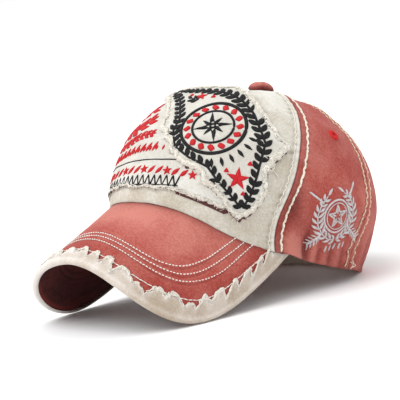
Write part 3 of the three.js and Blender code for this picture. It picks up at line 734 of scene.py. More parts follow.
def tubes(paths, ways_out, radii, sides=6):
    """One mesh of many closed tubes with the same number of points"""
    count, steps, _ = paths.shape
    along = unit(np.gradient(paths, axis=1))
    across = unit(np.cross(along, ways_out))
    up = np.cross(across, along)
    turn = 2 * np.pi * np.arange(sides) / sides
    ring = np.cos(turn)[:, None] * across[:, :, None] + np.sin(turn)[:, None] * up[:, :, None]
    radii = np.broadcast_to(radii, (count, steps))[..., None, None]
    points = (paths[:, :, None] + ring * radii).reshape(-1, 3)
    step, side = np.meshgrid(np.arange(steps - 1), np.arange(sides), indexing="ij")
    beside = (side + 1) % sides
    quads = np.stack([
        step * sides + side, step * sides + beside, (step + 1) * sides + beside, (step + 1) * sides + side,
    ], -1).reshape(-1, 4)
    starts = np.arange(count) * steps * sides
    faces = (quads[None, :, ::-1] + starts[:, None, None]).reshape(-1, 4).tolist()
    first = (np.arange(sides)[None] + starts[:, None]).tolist()
    last = (np.arange(sides)[None, ::-1] + (starts + (steps - 1) * sides)[:, None]).tolist()
    run = np.repeat(lengths(paths, axis=1)[:, :, None], sides, axis=2)
    places = np.stack([run, np.broadcast_to(turn, run.shape)], -1).reshape(-1, 2)
    return points, faces + first + last, places


# Stitches

STITCH_ARCH = np.array([-0.8, 0.35, 0.62, 0.62, 0.35, -0.8])
STITCH_FAT = np.array([0.55, 0.95, 1.0, 1.0, 0.95, 0.55])
# Shares by which stitches differ: where they start, how far they lean, and how thick they are
STITCH_START = (-0.06, 0.06)
STITCH_LEAN = (0.5, 1.2)
STITCH_THICK = (0.88, 1.12)


def stitches(line, ways_out, pitch, fill, radius, wander=0.0, seed=0, sides=6):
    """A row of stitches along a line on the cloth; wander throws them from side to side"""
    along = lengths(line)
    count = max(int(round(along[-1] / pitch)), 1)
    pitch = along[-1] / count
    rng = np.random.default_rng(seed)
    start = np.arange(count) * pitch + rng.uniform(*STITCH_START, count) * pitch
    at = start[:, None] + np.linspace(0, pitch * fill, len(STITCH_ARCH))[None]
    at = np.clip(at, 0, along[-1])
    points = at_lengths(line, at)
    out = unit(np.stack([np.interp(at, along, ways_out[:, c]) for c in range(3)], -1))
    across = unit(np.cross(np.gradient(points, axis=1), out))
    hand = np.where(np.arange(count) % 2 == 0, 1.0, -1.0)
    lean = hand * wander * rng.uniform(*STITCH_LEAN, count)
    slant = np.linspace(-1, 1, len(STITCH_ARCH))[None] * lean[:, None]
    fat = radius * rng.uniform(*STITCH_THICK, count)[:, None] * STITCH_FAT
    points = points + out * (STITCH_ARCH * radius)[None, :, None] + across * slant[..., None]
    return tubes(points, out, fat, sides)


# Crown panels

TIP_DROP = 4.2  # the panels' tips are drawn down by this under the button
# Over the border's ends the hem swells out and stands on the border's cloth
LAP_OUT, LAP_REACH, LAP_LIFT = 3.2, 6.0, 1.1
HEM_GAP = 0.25  # between the hem and the peak
HEM_TALL = 5.0  # the part of a panel that stands on the peak
DENT_INSIDE = 0.4  # the most that the inner face follows the outer one outwards


def overlap(heading):
    """From 0 to 1 where the hem lies over the ends of the peak's border"""
    away = np.abs(heading)
    return smoothstep(away, 60, 70) * (1 - smoothstep(away, 80, 90))


class Panel:
    """A panel's grid of cloth: where it lies, and how far each point is from its edges"""

    def __init__(self, name, headings, rises):
        self.name, self.heading, self.rise = name, headings, rises
        smooth = crown_point(headings, rises)
        across = lengths(smooth, axis=0)
        self.from_left = across
        self.from_right = across[-1:] - across
        self.up = lengths(smooth, axis=1)
        self.depth = np.zeros(headings.shape)
        self.wear = np.zeros(headings.shape)
        self.shade = np.zeros(headings.shape)

    def seam(self, away, ridge, ridge_end, stitch, pucker, wave, seed, paling=0.3, strip=0.0):
        """The raised allowance beside a seam, its stitched dip and its washed puckers, painted with shade in
        the hollows and highlight on the raised cloth. A strip above 0 is worn pale, and one below 0 is
        darker."""
        # Puckers are waves along the seam, uneven in length and height
        drift = 4.5 * soft_noise(self.up / 17, seed, seed)
        size = 1 + 0.8 * soft_noise(self.up / 9, seed + 3, seed)
        ripple = size * np.sin(2 * np.pi * self.up / wave + drift + 0.25 * away)
        ripple = 0.65 * ripple + 0.7 * soft_noise(self.up / 2.4, away / 3.5, seed + 7)
        raised = ridge * (1 - smoothstep(away, ridge_end, ridge_end + 1.5))
        self.depth += raised - 0.8 * bell(away, 0, 0.8) - 0.35 * bell(away, stitch, 0.7)
        past_ridge = np.exp(-np.maximum(away - ridge_end, 0) / 5.0)
        self.depth += pucker * ripple * smoothstep(away, 0, 2) * past_ridge
        # Pale lines on the ridge and along its edge, stronger on the pucker crests: wear with painted
        # highlight
        lit = bell(away, 1.2, 0.8) + bell(away, ridge_end + 0.3, 1.3) * (0.7 + 0.5 * ripple)
        on_strip = (1 - smoothstep(away, ridge_end - 0.6, ridge_end + 0.6)) * (0.8 + 0.3 * ripple)
        self.wear += paling * lit + max(strip, 0) * on_strip
        # Painted shade in the seam's groove and in the pucker troughs
        self.shade += 0.35 * bell(away, 0, 0.8) + 0.30 * np.clip(-ripple, 0, 1) * bell(away, stitch + 1, 3)
        self.shade += max(-strip, 0) * on_strip
        # Painted shade just past the ridge's edge and in the stitched dip
        self.shade += 0.25 * bell(away, ridge_end + 1.3, 0.8) + 0.30 * bell(away, stitch, 1.1)

    def crumple(self, amount, seed):
        """Soft creases all over, fading at the top"""
        x, y = self.from_left - self.from_right, self.up
        soft = soft_noise(x / 34, y / 26, seed) + 0.5 * soft_noise(x / 15 + 9, y / 13, seed + 1)
        small = soft_noise(x / 7, y / 8 + 5, seed + 2)
        self.depth += amount * (soft + 0.28 * small) * (1 - smoothstep(self.rise, 80, 98))
        creases = fold_depth(self.heading, self.rise, CREASES)
        self.depth += creases
        # Painted highlight on the crests of the creases and painted shade in their troughs
        self.wear += 0.10 * np.clip(soft, 0, 1) + 0.42 * np.clip(creases, 0, 1)
        self.shade += 0.08 * np.clip(-soft, 0, 1) + 0.34 * np.clip(-creases, 0, 1.5)

    def hem(self, away, roll, paling=0.35):
        """An edge that is turned in"""
        self.depth -= roll * np.exp(-away / 1.8)
        self.wear += paling * bell(away, 1.0, 1.4)

    def stand_on_peak(self, face):
        """Lifts a face's hem onto the peak, and all of it onto the floor"""
        near_peak = (np.abs(self.heading) < PEAK_HALF_ANGLE + HEM_EASE) & (self.up < HEM_TALL)
        stand = HEM_GAP + LAP_LIFT * overlap(self.heading)
        rest = peak_height(face[..., 0], face[..., 1]) + stand
        lifted = np.where(near_peak, np.maximum(face[..., 2], rest), face[..., 2])
        face[..., 2] = np.maximum(lifted, 0.0)

    def finish(self):
        """Lays the cloth: its two faces in space, and the way out of each point"""
        heading, rise = self.heading, self.rise
        self.depth -= TIP_DROP * smoothstep(rise, 80, 95)
        self.depth += LAP_OUT * overlap(heading) * np.exp(-self.up / LAP_REACH)
        on_rim = rise < LOWEST_RISE
        self.outer = crown_point(heading, rise, self.depth)
        self.outer[..., 2] = np.where(on_rim, rim_height(heading), self.outer[..., 2])
        self.stand_on_peak(self.outer)
        self.inner = crown_point(heading, rise, np.clip(self.depth, -TIP_DROP, DENT_INSIDE) - CLOTH)
        self.inner[..., 2] = np.where(on_rim, self.outer[..., 2], self.inner[..., 2])
        self.stand_on_peak(self.inner)
        self.out = unit(np.cross(np.gradient(self.outer, axis=0), np.gradient(self.outer, axis=1)))

    def line(self, away, distance, top=96.5, bottom=0.6):
        """A line that keeps its distance from an edge, on the outer face"""
        points, ways = [], []
        for j in range(self.rise.shape[1]):
            row = away[:, j]
            if not bottom < self.rise[len(row) // 2, j] < top or row.max() < 2.1 * distance:
                continue
            order = np.argsort(row)
            points.append([np.interp(distance, row[order], self.outer[order, j, c]) for c in range(3)])
            ways.append([np.interp(distance, row[order], self.out[order, j, c]) for c in range(3)])
        return np.array(points), unit(np.array(ways))


def near_edge(panel, side, facing_front):
    """The distances from a side or back panel's front edge, or from its back edge"""
    return panel.from_left if (side > 0) == facing_front else panel.from_right


EDGE_COLUMNS = 22
EDGE_SHARE = 0.085
# Columns of each panel, between the close ones at its edges, and its rows
FRONT_COLUMNS, FRONT_ROWS = 90, 160
SIDE_COLUMNS, SIDE_ROWS = 44, 140
FLAT_COLUMNS, ARCH_COLUMNS, BACK_ROWS = 34, 34, 130


def panel_shares(middle):
    """Columns across a panel, close together beside the seams"""
    edge = np.linspace(0, EDGE_SHARE, EDGE_COLUMNS)
    between = np.linspace(EDGE_SHARE, 1 - EDGE_SHARE, middle)
    return np.concatenate([edge[:-1], between, 1 - edge[::-1][1:]])


def panel_grid(left, right, shares, row_count):
    """Headings and rises of a panel between two seams"""
    rows = np.linspace(0, OPEN_TOP, row_count)
    rises = np.broadcast_to(rows, (len(shares), len(rows)))
    headings = left(rises) + (right(rises) - left(rises)) * shares[:, None]
    return headings, rises


def front_panel():
    grid = panel_grid(lambda r: -front_seam(r), front_seam, panel_shares(FRONT_COLUMNS), FRONT_ROWS)
    panel = Panel("front_panel", *grid)
    for away, seed in ((panel.from_left, 11), (panel.from_right, 12)):
        panel.seam(
            away, ridge=0.6, ridge_end=4.6, stitch=4.2, pucker=0.42, wave=6.4, seed=seed,
            paling=0.35, strip=0.45,
        )
    panel.crumple(0.34, 21)
    panel.hem(panel.up, 0.5, paling=0.1)
    # Painted shadow along the foot, where the panel meets the peak
    panel.shade += 0.6 * np.exp(-panel.up / 0.8)
    # Painted highlight: paler towards the top, where the key light falls
    panel.wear += 0.45 * smoothstep(panel.rise, 50, 85)
    panel.finish()
    return panel


def side_panel(side):
    near, far = (lambda r: side * front_seam(r)), (lambda r: side * side_seam(r))
    left, right = (near, far) if side > 0 else (far, near)
    name = "side_panel_left" if side > 0 else "side_panel_right"
    panel = Panel(name, *panel_grid(left, right, panel_shares(SIDE_COLUMNS), SIDE_ROWS))
    front, back = near_edge(panel, side, True), near_edge(panel, side, False)
    panel.seam(
        front, ridge=0.7, ridge_end=3.9, stitch=5.2, pucker=0.4, wave=7.6, seed=31 + side,
        paling=0.12, strip=-0.25,
    )
    panel.seam(back, ridge=0.5, ridge_end=3.2, stitch=3.6, pucker=0.5, wave=6.2, seed=41 + side, paling=0.6)
    panel.crumple(0.6, 51 + side)
    past_peak = smoothstep(np.abs(panel.heading), 79, 90)
    panel.hem(panel.up, 2.0 * past_peak, paling=0.25)
    # Painted shade: darker towards the bottom, where the side gets less light
    panel.shade += 0.12 * (1 - smoothstep(panel.up, 0, 60))
    # Painted shade above a bulge at the lower front
    panel.shade += 0.18 * bell(front, 13, 9) * bell(panel.up, 26, 13)
    # Paler beside the front seam towards the top: wear with painted highlight
    panel.wear += 0.20 * bell(front, 9, 8) * smoothstep(panel.up, 55, 80)
    # Painted highlight on the bulge at the foot of the front seam
    panel.wear += 0.28 * bell(front, 12, 8) * bell(panel.up, 6, 7)
    panel.finish()
    return panel


def back_panel(side):
    """A back panel, whose rows start at the arch over the strap"""
    flat = np.linspace(0, (180 - ARCH_HALF_ANGLE - SIDE_SEAM) / (180 - SIDE_SEAM), FLAT_COLUMNS)
    turn = np.linspace(0, np.pi / 2, ARCH_COLUMNS)
    arch = 1 - ARCH_HALF_ANGLE * np.cos(turn) / (180 - SIDE_SEAM)
    shares = np.concatenate([flat[:-1], arch])
    lows = np.concatenate([np.zeros(len(flat) - 1), ARCH_RISE * np.sin(turn)])
    rows = np.linspace(0, 1, BACK_ROWS)
    rises = lows[:, None] + (OPEN_TOP - lows[:, None]) * rows[None]
    headings = side_seam(rises) + (180 - side_seam(rises)) * shares[:, None]
    name = "back_panel_left" if side > 0 else "back_panel_right"
    if side < 0:
        headings, rises = -headings[::-1], rises[::-1]
    panel = Panel(name, headings, rises)
    front, back = near_edge(panel, side, True), near_edge(panel, side, False)
    panel.seam(front, ridge=0.5, ridge_end=3.2, stitch=3.6, pucker=0.5, wave=6.2, seed=61 + side, paling=0.6)
    panel.seam(back, ridge=0.45, ridge_end=3.2, stitch=3.6, pucker=0.35, wave=6.6, seed=71 + side, paling=0.5)
    panel.crumple(0.55, 81 + side)
    panel.arch = arch_distance(panel)
    panel.depth += 0.45 * (1 - smoothstep(panel.arch, 6.0, 7.4)) - 0.3 * bell(panel.arch, 6.4, 0.7)
    panel.hem(panel.arch, 0.8, paling=0.35)
    panel.hem(panel.up + 40 * (rises[:, :1] > 0), 1.0, paling=0.25)
    panel.finish()
    return panel


def arch_distance(panel):
    """How far each point is from the edge of the back opening"""
    turn = np.linspace(0, np.pi, 90)
    headings = 180 + ARCH_HALF_ANGLE * np.cos(turn)
    edge = crown_point(headings, ARCH_RISE * np.sin(turn))
    flat = crown_point(panel.heading, panel.rise).reshape(-1, 1, 3)
    return np.linalg.norm(flat - edge[None], axis=-1).min(1).reshape(panel.heading.shape)


def eyelet_clear(panel, heading):
    """Which faces stay: those under an eyelet's hole go"""
    if heading is None:
        return None
    centre = crown_point(heading, EYELET_RISE)
    middle = (panel.outer[:-1, :-1] + panel.outer[1:, 1:]) / 2
    return np.linalg.norm(middle - centre, axis=-1) > (EYELET_INNER + EYELET_OUTER) / 2 - 0.6


def sew_panel(panel, outside, inside, eyelet=None):
    faces = grid_faces(panel.outer.shape, eyelet_clear(panel, eyelet))
    uv = np.stack([(panel.from_left - panel.from_right) / 2, panel.up], -1)
    panel.piece = build_sheet(
        panel.name + "_cloth", faces, panel.outer, panel.inner, (outside, inside), (panel.name,),
        uv, panel.wear, panel.shade,
    )


def panel_tree(panel):
    faces = grid_faces(panel.outer.shape)
    return BVHTree.FromPolygons(panel.outer.reshape(-1, 3).tolist(), faces.tolist())


front = front_panel()
sides = {side: side_panel(side) for side in (1, -1)}
backs = {side: back_panel(side) for side in (1, -1)}

sew_panel(front, CREAM, CREAM_INSIDE)
for side in (1, -1):
    sew_panel(sides[side], CORAL, CORAL_INSIDE, side * EYELET_HEADINGS["side"])
    sew_panel(backs[side], CORAL, CORAL_INSIDE, side * EYELET_HEADINGS["back"])


# Seam stitches: fine rows on the cream, thick twisted rows on the coral

# How far each row is from its seam
CREAM_ROW, CORAL_ROW, BACK_ROW = 4.4, 5.2, 3.6


def topstitching():
    parts, behind = [], []
    for side in (1, -1):
        cream = front.from_right if side > 0 else front.from_left
        parts.append(stitches(*front.line(cream, CREAM_ROW), 2.6, 1.15, 0.42, 0.75, seed=101 + side))
        thick = sides[side].line(near_edge(sides[side], side, True), CORAL_ROW)
        parts.append(stitches(*thick, 3.3, 1.22, 0.88, 0.62, seed=103 + side, sides=8))
        for panel, facing_front in ((sides[side], False), (backs[side], True)):
            row = panel.line(near_edge(panel, side, facing_front), BACK_ROW)
            behind.append(stitches(*row, 3.2, 1.04, 0.50, 0.42, seed=105 + side))
        row = backs[side].line(near_edge(backs[side], side, False), BACK_ROW)
        behind.append(stitches(*row, 3.5, 0.9, 0.46, 0.25, seed=107 + side))
    join("seam_topstitching", parts, CREAM_THREAD)
    join("back_seam_topstitching", behind, WARM_THREAD)


topstitching()


# Peak: coral twill over a stiff board, dark twill below, with three rows of stitches

# How far in from the edge each row runs, by its place from the middle, 0, to an end, 0.5
PEAK_ROWS = (
    steady_curve((0, 0.15, 0.20, 0.25, 0.30, 0.35, 0.38, 0.5), (23, 23, 23.6, 25.9, 29.2, 35, 37, 40)),
    steady_curve((0, 0.13, 0.20, 0.25, 0.28, 0.31, 0.35, 0.5), (27, 27, 28.3, 32.8, 37, 41, 44.8, 50)),
    steady_curve((0, 0.10, 0.15, 0.20, 0.25, 0.30, 0.32, 0.5), (30.4, 30.2, 30.8, 33.8, 41, 50, 52.5, 60)),
)
# Width of the border at its torn teeth, by the same places, and its notches
BORDER_WIDTH = steady_curve(
    (0, 0.12, 0.20, 0.25, 0.30, 0.36, 0.42, 0.5), (12.4, 12.6, 13.6, 13.4, 15, 18.6, 20, 20.5)
)
BORDER_NARROWER = 1.8  # on the wearer's right
NOTCH_PITCH = 12.5
NOTCH_DEEP = 8.0
NOTCH_HALF = 5.8
TEAR_FROM = 2.2


def from_middle(share):
    """Place from the middle of the peak's edge, 0, to an end, 0.5"""
    return np.abs(share - 0.5)


def notch_table():
    """Where the border is torn: place along the edge, depth and half width"""
    rng = np.random.default_rng(7)
    count = int(EDGE_LENGTH / NOTCH_PITCH)
    at = (np.arange(count) + 0.5) * EDGE_LENGTH / count + rng.uniform(-2.6, 2.6, count)
    return at, NOTCH_DEEP * rng.uniform(0.55, 1.25, count), NOTCH_HALF * rng.uniform(0.7, 1.25, count)


NOTCHES = notch_table()


def tooth_width(share):
    """Width of the border where it isn't torn, which is less on the wearer's right"""
    return BORDER_WIDTH(from_middle(share)) - BORDER_NARROWER * (1 - smoothstep(share, 0.25, 0.42))


def border_width(along):
    """Width of the torn border at a place along the peak's edge"""
    share = along / EDGE_LENGTH
    wide = tooth_width(share) + 0.9 * soft_noise(along / 5.5, 0, 91) + 0.8 * soft_noise(along / 1.7, 0, 92)
    torn = sum(deep * np.clip(1 - np.abs(along - at) / half, 0, 1) for at, deep, half in zip(*NOTCHES))
    return wide - torn * (0.5 + 0.5 * smoothstep(share, 0.2, 0.42))


def peak_cloth():
    stations, rows = 260, 84
    share = np.linspace(0, 1, stations)[:, None]
    inwards = np.linspace(0, 1, rows)[None]
    edge, root = edge_point(share[:, 0])[:, None], root_point(share[:, 0])[:, None]
    plan = edge + (root - edge) * inwards[..., None]
    flat = on_peak(plan)
    away = lengths(flat, axis=1)
    along = np.broadcast_to(share * EDGE_LENGTH, away.shape)
    depth = 0.22 * soft_noise(along / 30, away / 16, 95) + 0.08 * soft_noise(along / 9, away / 8, 96)
    # Paler towards the crown, less so towards the wearer's left: partly wash fading, partly painted light
    # where the slope faces the key light
    less = 1 - 0.55 * smoothstep(share, 0.58, 0.80)
    wear = 0.68 * less * smoothstep(away, 24, 56) + 0.08 * soft_noise(along / 26, away / 18, 97)
    # Painted highlight along the edge where it rounds over, on the wearer's right front
    edge_highlight = smoothstep(share, 0.2, 0.29) * (1 - smoothstep(share, 0.32, 0.42))
    wear = wear + 0.8 * (1 - smoothstep(away, 1, 5)) * edge_highlight
    # Painted shadow along the border's torn edge, and a soft darker band about 18 mm in from the peak's edge
    past_border = away - border_width(along[:, :1])
    shade = 0.10 * bell(away, 18, 7) + 0.5 * np.exp(-np.abs(past_border) / 1.3)
    for row in PEAK_ROWS:
        off = away - row(from_middle(share))
        # Each row's dip gets painted shade, and the raised cloth either side painted highlight
        depth = depth - 0.32 * bell(off, 0, 0.8) + 0.14 * bell(off, 2.4, 1.2)
        wear = wear + 0.12 * bell(off, 2.0, 1.1) + 0.08 * bell(off, -1.8, 1.1)
        shade = shade + 0.30 * bell(off, 0, 0.9)
    to_edge = 1 - np.clip(away / 1.5, 0, 1)
    rounding = 0.5 * PEAK_THICKNESS * (1 - np.sqrt(np.clip(1 - to_edge**2, 0, 1)))
    top = on_peak(plan, depth * (away > 2) - rounding * 0.9)
    bottom = on_peak(plan, -PEAK_THICKNESS + rounding * 0.9)
    top[..., 2] = np.maximum(top[..., 2], 0.6)
    bottom[..., 2] = np.maximum(bottom[..., 2], 0.3)
    # Painted shadow along the root, under the crown's hem
    shade = shade + np.exp(-(away[:, -1:] - away) / 2.2)
    uv = np.stack([along - EDGE_LENGTH / 2, away], -1)
    build_sheet(
        "peak_cloth", grid_faces(top.shape), top, bottom, (CORAL, UNDERSIDE), ("peak",),
        uv, wear, shade,
    )


def peak_line(distance, first=0.02, last=0.98):
    """A line round the peak that keeps its distance from the edge"""
    share = np.linspace(first, last, 500)
    edge, root = edge_point(share), root_point(share)
    run = np.linalg.norm(on_peak(edge) - on_peak(root), axis=-1)
    off = distance(share)
    kept = off < run - 0.3
    plan = (edge + (root - edge) * (off / run)[:, None])[kept]
    return on_peak(plan), peak_normal(plan[:, 0])


def border_sewing():
    """The row that holds the border, and crosses its tears on the coral cloth"""
    share = np.linspace(FRAY_END, 1 - FRAY_END, 1600)
    off = tooth_width(share) - 0.9
    on_border = smoothstep(border_width(share * EDGE_LENGTH) - off, -0.6, 0.6)
    lift = 0.1 + on_border * (BORDER_CLOTH + BORDER_GAP + 0.45)
    plan = in_from_edge(share, off)
    out = peak_normal(plan[:, 0])
    return stitches(on_peak(plan, lift), out, 3.2, 1.0, 0.36, 0.12, seed=115)


def peak_stitching():
    parts, below = [], []
    for k, row in enumerate(PEAK_ROWS):
        line, out = peak_line(lambda share: row(from_middle(share)))
        parts.append(stitches(line - out * 0.12, out, 2.4, 0.68, 0.40, 0.12, seed=111 + k))
        lower = line - out * (PEAK_THICKNESS - 0.05)
        below.append(stitches(lower, -out, 2.4, 0.68, 0.30, 0.10, seed=121 + k))
    parts.append(border_sewing())
    join("peak_stitching", parts, WHITE_THREAD)
    join("peak_underside_stitching", below, DARK_THREAD)


BORDER_OVER = 15
BORDER_TURNS = 9
BORDER_UNDER = 4
END_THIN = 0.75


def border_section(along, width, away, ripple):
    """One layer of the border: back under the peak, round its edge and in over its top"""
    share = along / EDGE_LENGTH
    edge = edge_point(share)
    normal = peak_normal(edge[:, 0])
    tangent = unit(on_peak(edge_point(share + 0.004)) - on_peak(edge_point(share - 0.004)))
    outwards = unit(np.cross(tangent, normal))
    middle = on_peak(edge, -PEAK_THICKNESS / 2)
    thin = 1 - END_THIN * smoothstep(from_middle(share), 0.465, 0.495)
    away = away * thin
    reach = PEAK_THICKNESS / 2 + away
    rows = []
    for inwards in np.linspace(BORDER_RETURN, 0, BORDER_UNDER, endpoint=False):
        back = inwards * (0.2 + 0.8 * smoothstep(share, 0.3, 0.5))
        rows.append(on_peak(in_from_edge(share, back), -PEAK_THICKNESS - away))
    for turn in np.radians(np.linspace(-90, 90, BORDER_TURNS)):
        rows.append(middle + reach[:, None] * (normal * math.sin(turn) + outwards * math.cos(turn)))
    for k in range(1, BORDER_OVER + 1):
        inwards = width * k / BORDER_OVER
        lift = away + thin * ripple * smoothstep(np.float64(k), 4, BORDER_OVER)
        rows.append(on_peak(in_from_edge(share, inwards), lift))
    return np.stack(rows, 1)


def border_canvas():
    along = np.linspace(-BORDER_PAST, EDGE_LENGTH + BORDER_PAST, 640)
    width = border_width(along)
    ripple = 0.35 + 0.45 * soft_noise(along / 4.2, 0, 93) + 0.25 * soft_noise(along / 1.9, 0, 94)
    outer = border_section(along, width, BORDER_GAP + BORDER_CLOTH, ripple)
    inner = border_section(along, width, np.float64(BORDER_GAP * 0.4), ripple)
    away = lengths(outer, axis=1)
    from_torn = away[:, -1:] - away
    outer += unit(outer - inner) * (0.14 * soft_noise(along[:, None] / 11, away / 7, 98))[..., None]
    for layer in (outer, inner):
        layer[..., 2] = np.maximum(layer[..., 2], 0.0)
    uv = np.stack([np.broadcast_to(along[:, None], away.shape), away], -1)
    share = along[:, None] / EDGE_LENGTH
    wear = 0.75 * np.exp(-from_torn / 2.2) + 0.22 * bell(away, 8.5, 1.6)
    wear = wear + 0.12 * soft_noise(along[:, None] / 13, away / 9, 99)
    # Painted highlight: paler on the wearer's right and front, where the key light falls
    wear = wear + 0.90 * (1 - smoothstep(share, 0.34, 0.62))
    # Painted shade on the rim's lower part near the wearer's right end, which lies in shadow, and a faint
    # darker band 13 mm round
    lower_rim = (1 - smoothstep(away, 2.2, 5.5)) * (1 - smoothstep(share, 0.17, 0.27))
    wear = wear * (1 - lower_rim)
    shade = 0.07 * bell(away, 13, 3) + 1.3 * lower_rim
    piece = build_sheet(
        "peak_border_canvas", grid_faces(outer.shape), outer, inner, (BORDER,),
        ("peak_border",), uv, wear, shade,
    )
    return piece, outer


peak_cloth()
peak_stitching()
border_sheet = border_canvas()


# Frayed edges

def along_edge(line, at):
    """Points at these lengths along a torn edge, and the ways along and out of the cloth there"""
    along = lengths(line)
    tangent = unit(np.stack([np.interp(at, along, way) for way in np.gradient(line, axis=0).T], -1))
    return at_lengths(line, at), tangent, right_of(tangent)


def fray(surface, line, top, count, seed, length=(1.6, 4.2), radius=(0.13, 0.24), inset=1.6, fall=0.6,
         lean=0.9, steps=7):
    """Loose threads that stand out of a torn edge, whose cloth is on the line's left"""
    rng = np.random.default_rng(seed)
    at = np.sort(rng.uniform(0, lengths(line)[-1], count))
    base, tangent, outwards = along_edge(line, at)
    heading = rng.normal(0, lean, count)
    curl = rng.normal(0, 0.55, count)
    size = rng.uniform(*length, count) * np.where(rng.random(count) < 0.06, 1.8, 1.0)
    share = np.linspace(0, 1, steps)
    turn = heading[:, None] + curl[:, None] * share[None] * 2.2
    step = size[:, None] / (steps - 1)
    forward = np.cumsum(np.cos(turn) * step, axis=1) - rng.uniform(0.2, inset, count)[:, None]
    sideways = np.cumsum(np.sin(turn) * step, axis=1)
    flat = base[:, None] + outwards[:, None] * forward[..., None] + tangent[:, None] * sideways[..., None]
    hop = rng.uniform(0.1, 0.9, count)[:, None] * np.sin(np.pi * share)[None]
    sunk = smoothstep(forward, -0.4, 1.6)
    height = top * (1 - sunk * fall) + hop + rng.uniform(0.0, 0.3, count)[:, None]
    paths, out = surface.press(flat, height)
    taper = rng.uniform(*radius, count)[:, None] * np.linspace(1.0, 0.7, steps)[None]
    return tubes(paths, out, taper, 4)


def edge_strands(surface, line, top, count, seed, length=(5, 13), radius=(0.16, 0.26), wander=0.9, steps=14):
    """Threads of the torn edge that still run along it"""
    rng = np.random.default_rng(seed)
    whole = lengths(line)[-1]
    start = rng.uniform(0, whole, count)
    size = rng.uniform(*length, count)
    share = np.linspace(0, 1, steps)[None]
    at = (start[:, None] + size[:, None] * share) % whole
    base, _, outwards = along_edge(line, at)
    turns = share * rng.uniform(4, 11, count)[:, None]
    wave = np.sin(turns + rng.uniform(0, 6, count)[:, None])
    off = rng.uniform(-1.0, 0.9, count)[:, None] + wander * 0.5 * wave
    flat = base + outwards * off[..., None]
    height = top * (1 - 0.45 * smoothstep(off, -0.2, 1.2)) + 0.15 + 0.3 * np.abs(wave)
    kept = np.abs(np.diff(at, axis=1)).max(1) < 3
    paths, out = surface.press(flat[kept], height[kept])
    return tubes(paths, out, rng.uniform(*radius, count)[kept][:, None], 4)


def curls(surface, line, top, count, seed, length=(5, 12), swing=(0.5, 1.2), wave=(2.6, 4.6),
          radius=(0.22, 0.38), off=(-0.9, 0.6), steps=30, where=None):
    """Threads that curl along a torn edge in small loops"""
    rng = np.random.default_rng(seed)
    whole = lengths(line)[-1]
    size = rng.uniform(*length, count)
    share = np.linspace(0, 1, steps)[None]
    turn = rng.uniform(0, 2 * np.pi, count)[:, None]
    turn = turn + 2 * np.pi * (size / rng.uniform(*wave, count))[:, None] * share
    sway = rng.uniform(*swing, count)[:, None] * (0.7 + 0.3 * np.sin(1.7 * turn))
    start = rng.uniform(0, whole - length[1], count)[:, None]
    at = np.clip(start + size[:, None] * share + 0.8 * sway * np.sin(turn), 0, whole)
    base, _, outwards = along_edge(line, at)
    away = rng.uniform(*off, count)[:, None] + sway * np.cos(turn)
    flat = base + outwards * away[..., None]
    height = top * (1 - 0.5 * smoothstep(away, 0.0, 1.6)) + 0.3 + 0.3 * np.sin(turn + 1)
    thick = rng.uniform(*radius, count)[:, None]
    chosen = np.ones(count, bool) if where is None else where(base[:, steps // 2])
    paths, out = surface.press(flat[chosen], height[chosen])
    return tubes(paths, out, thick[chosen], 4)


def on_tooth(spots):
    """Whether places of the border's torn edge are out of its tears"""
    return tooth_width(spots[:, 0] / EDGE_LENGTH) - spots[:, 1] < TEAR_FROM


def border_fray():
    along = np.arange(FRAY_END * EDGE_LENGTH, (1 - FRAY_END) * EDGE_LENGTH, 0.35)
    torn = np.stack([along, border_width(along)], -1)[::-1]
    edge = (PeakMap(), torn, BORDER_GAP + BORDER_CLOTH + 0.2)
    thick = {"radius": (0.26, 0.56), "where": on_tooth}
    join("peak_border_fray", [
        fray(*edge, 600, 131, length=(0.7, 1.6), radius=(0.13, 0.22), fall=0.75),
        edge_strands(*edge, 240, 132, wander=0.45, radius=(0.2, 0.34)),
        curls(*edge, 330, 133, length=(3, 7), swing=(0.5, 1.7), **thick),
    ], FRAY_THREAD)


border_fray()


# Torn patches

FRONT_CHART = Chart(18, 44, 75.0, panel_tree(front))
TORN_STEP = 0.65
PATCH_PITCH = 1.9


def torn_outline(corners, roughness, seed):
    """A patch's torn outline on the front's map, the cloth on its left"""
    corners = np.array(corners, float)
    flat = FRONT_CHART.place(corners[:, 0], corners[:, 1])
    line = resample(np.concatenate([flat, flat[:1]]), TORN_STEP)[:-1]
    tangent = unit(np.roll(line, -1, axis=0) - np.roll(line, 1, axis=0))
    along = np.arange(len(line)) * TORN_STEP
    off = soft_noise(along / 6.0, 0, seed) + 0.7 * soft_noise(along / 2.2, 3, seed)
    off = off + 0.3 * soft_noise(along, 5, seed)
    line = line + right_of(tangent) * (roughness * off)[:, None]
    area = np.sum(line[:, 0] * np.roll(line[:, 1], -1) - np.roll(line[:, 0], -1) * line[:, 1])
    return line if area > 0 else line[::-1]


def inside(points, outline):
    """Which points lie inside a closed outline"""
    x, y = points[:, :1], points[:, 1:]
    ax, ay = outline[:, 0], outline[:, 1]
    bx, by = np.roll(ax, -1), np.roll(ay, -1)
    spans = (ay > y) != (by > y)
    rise = np.where(by == ay, 1e-9, by - ay)
    return (spans & (x < (bx - ax) * (y - ay) / rise + ax)).sum(1) % 2 == 1


def from_outline(points, outline):
    return np.linalg.norm(points[:, None] - outline[None], axis=-1).min(1)


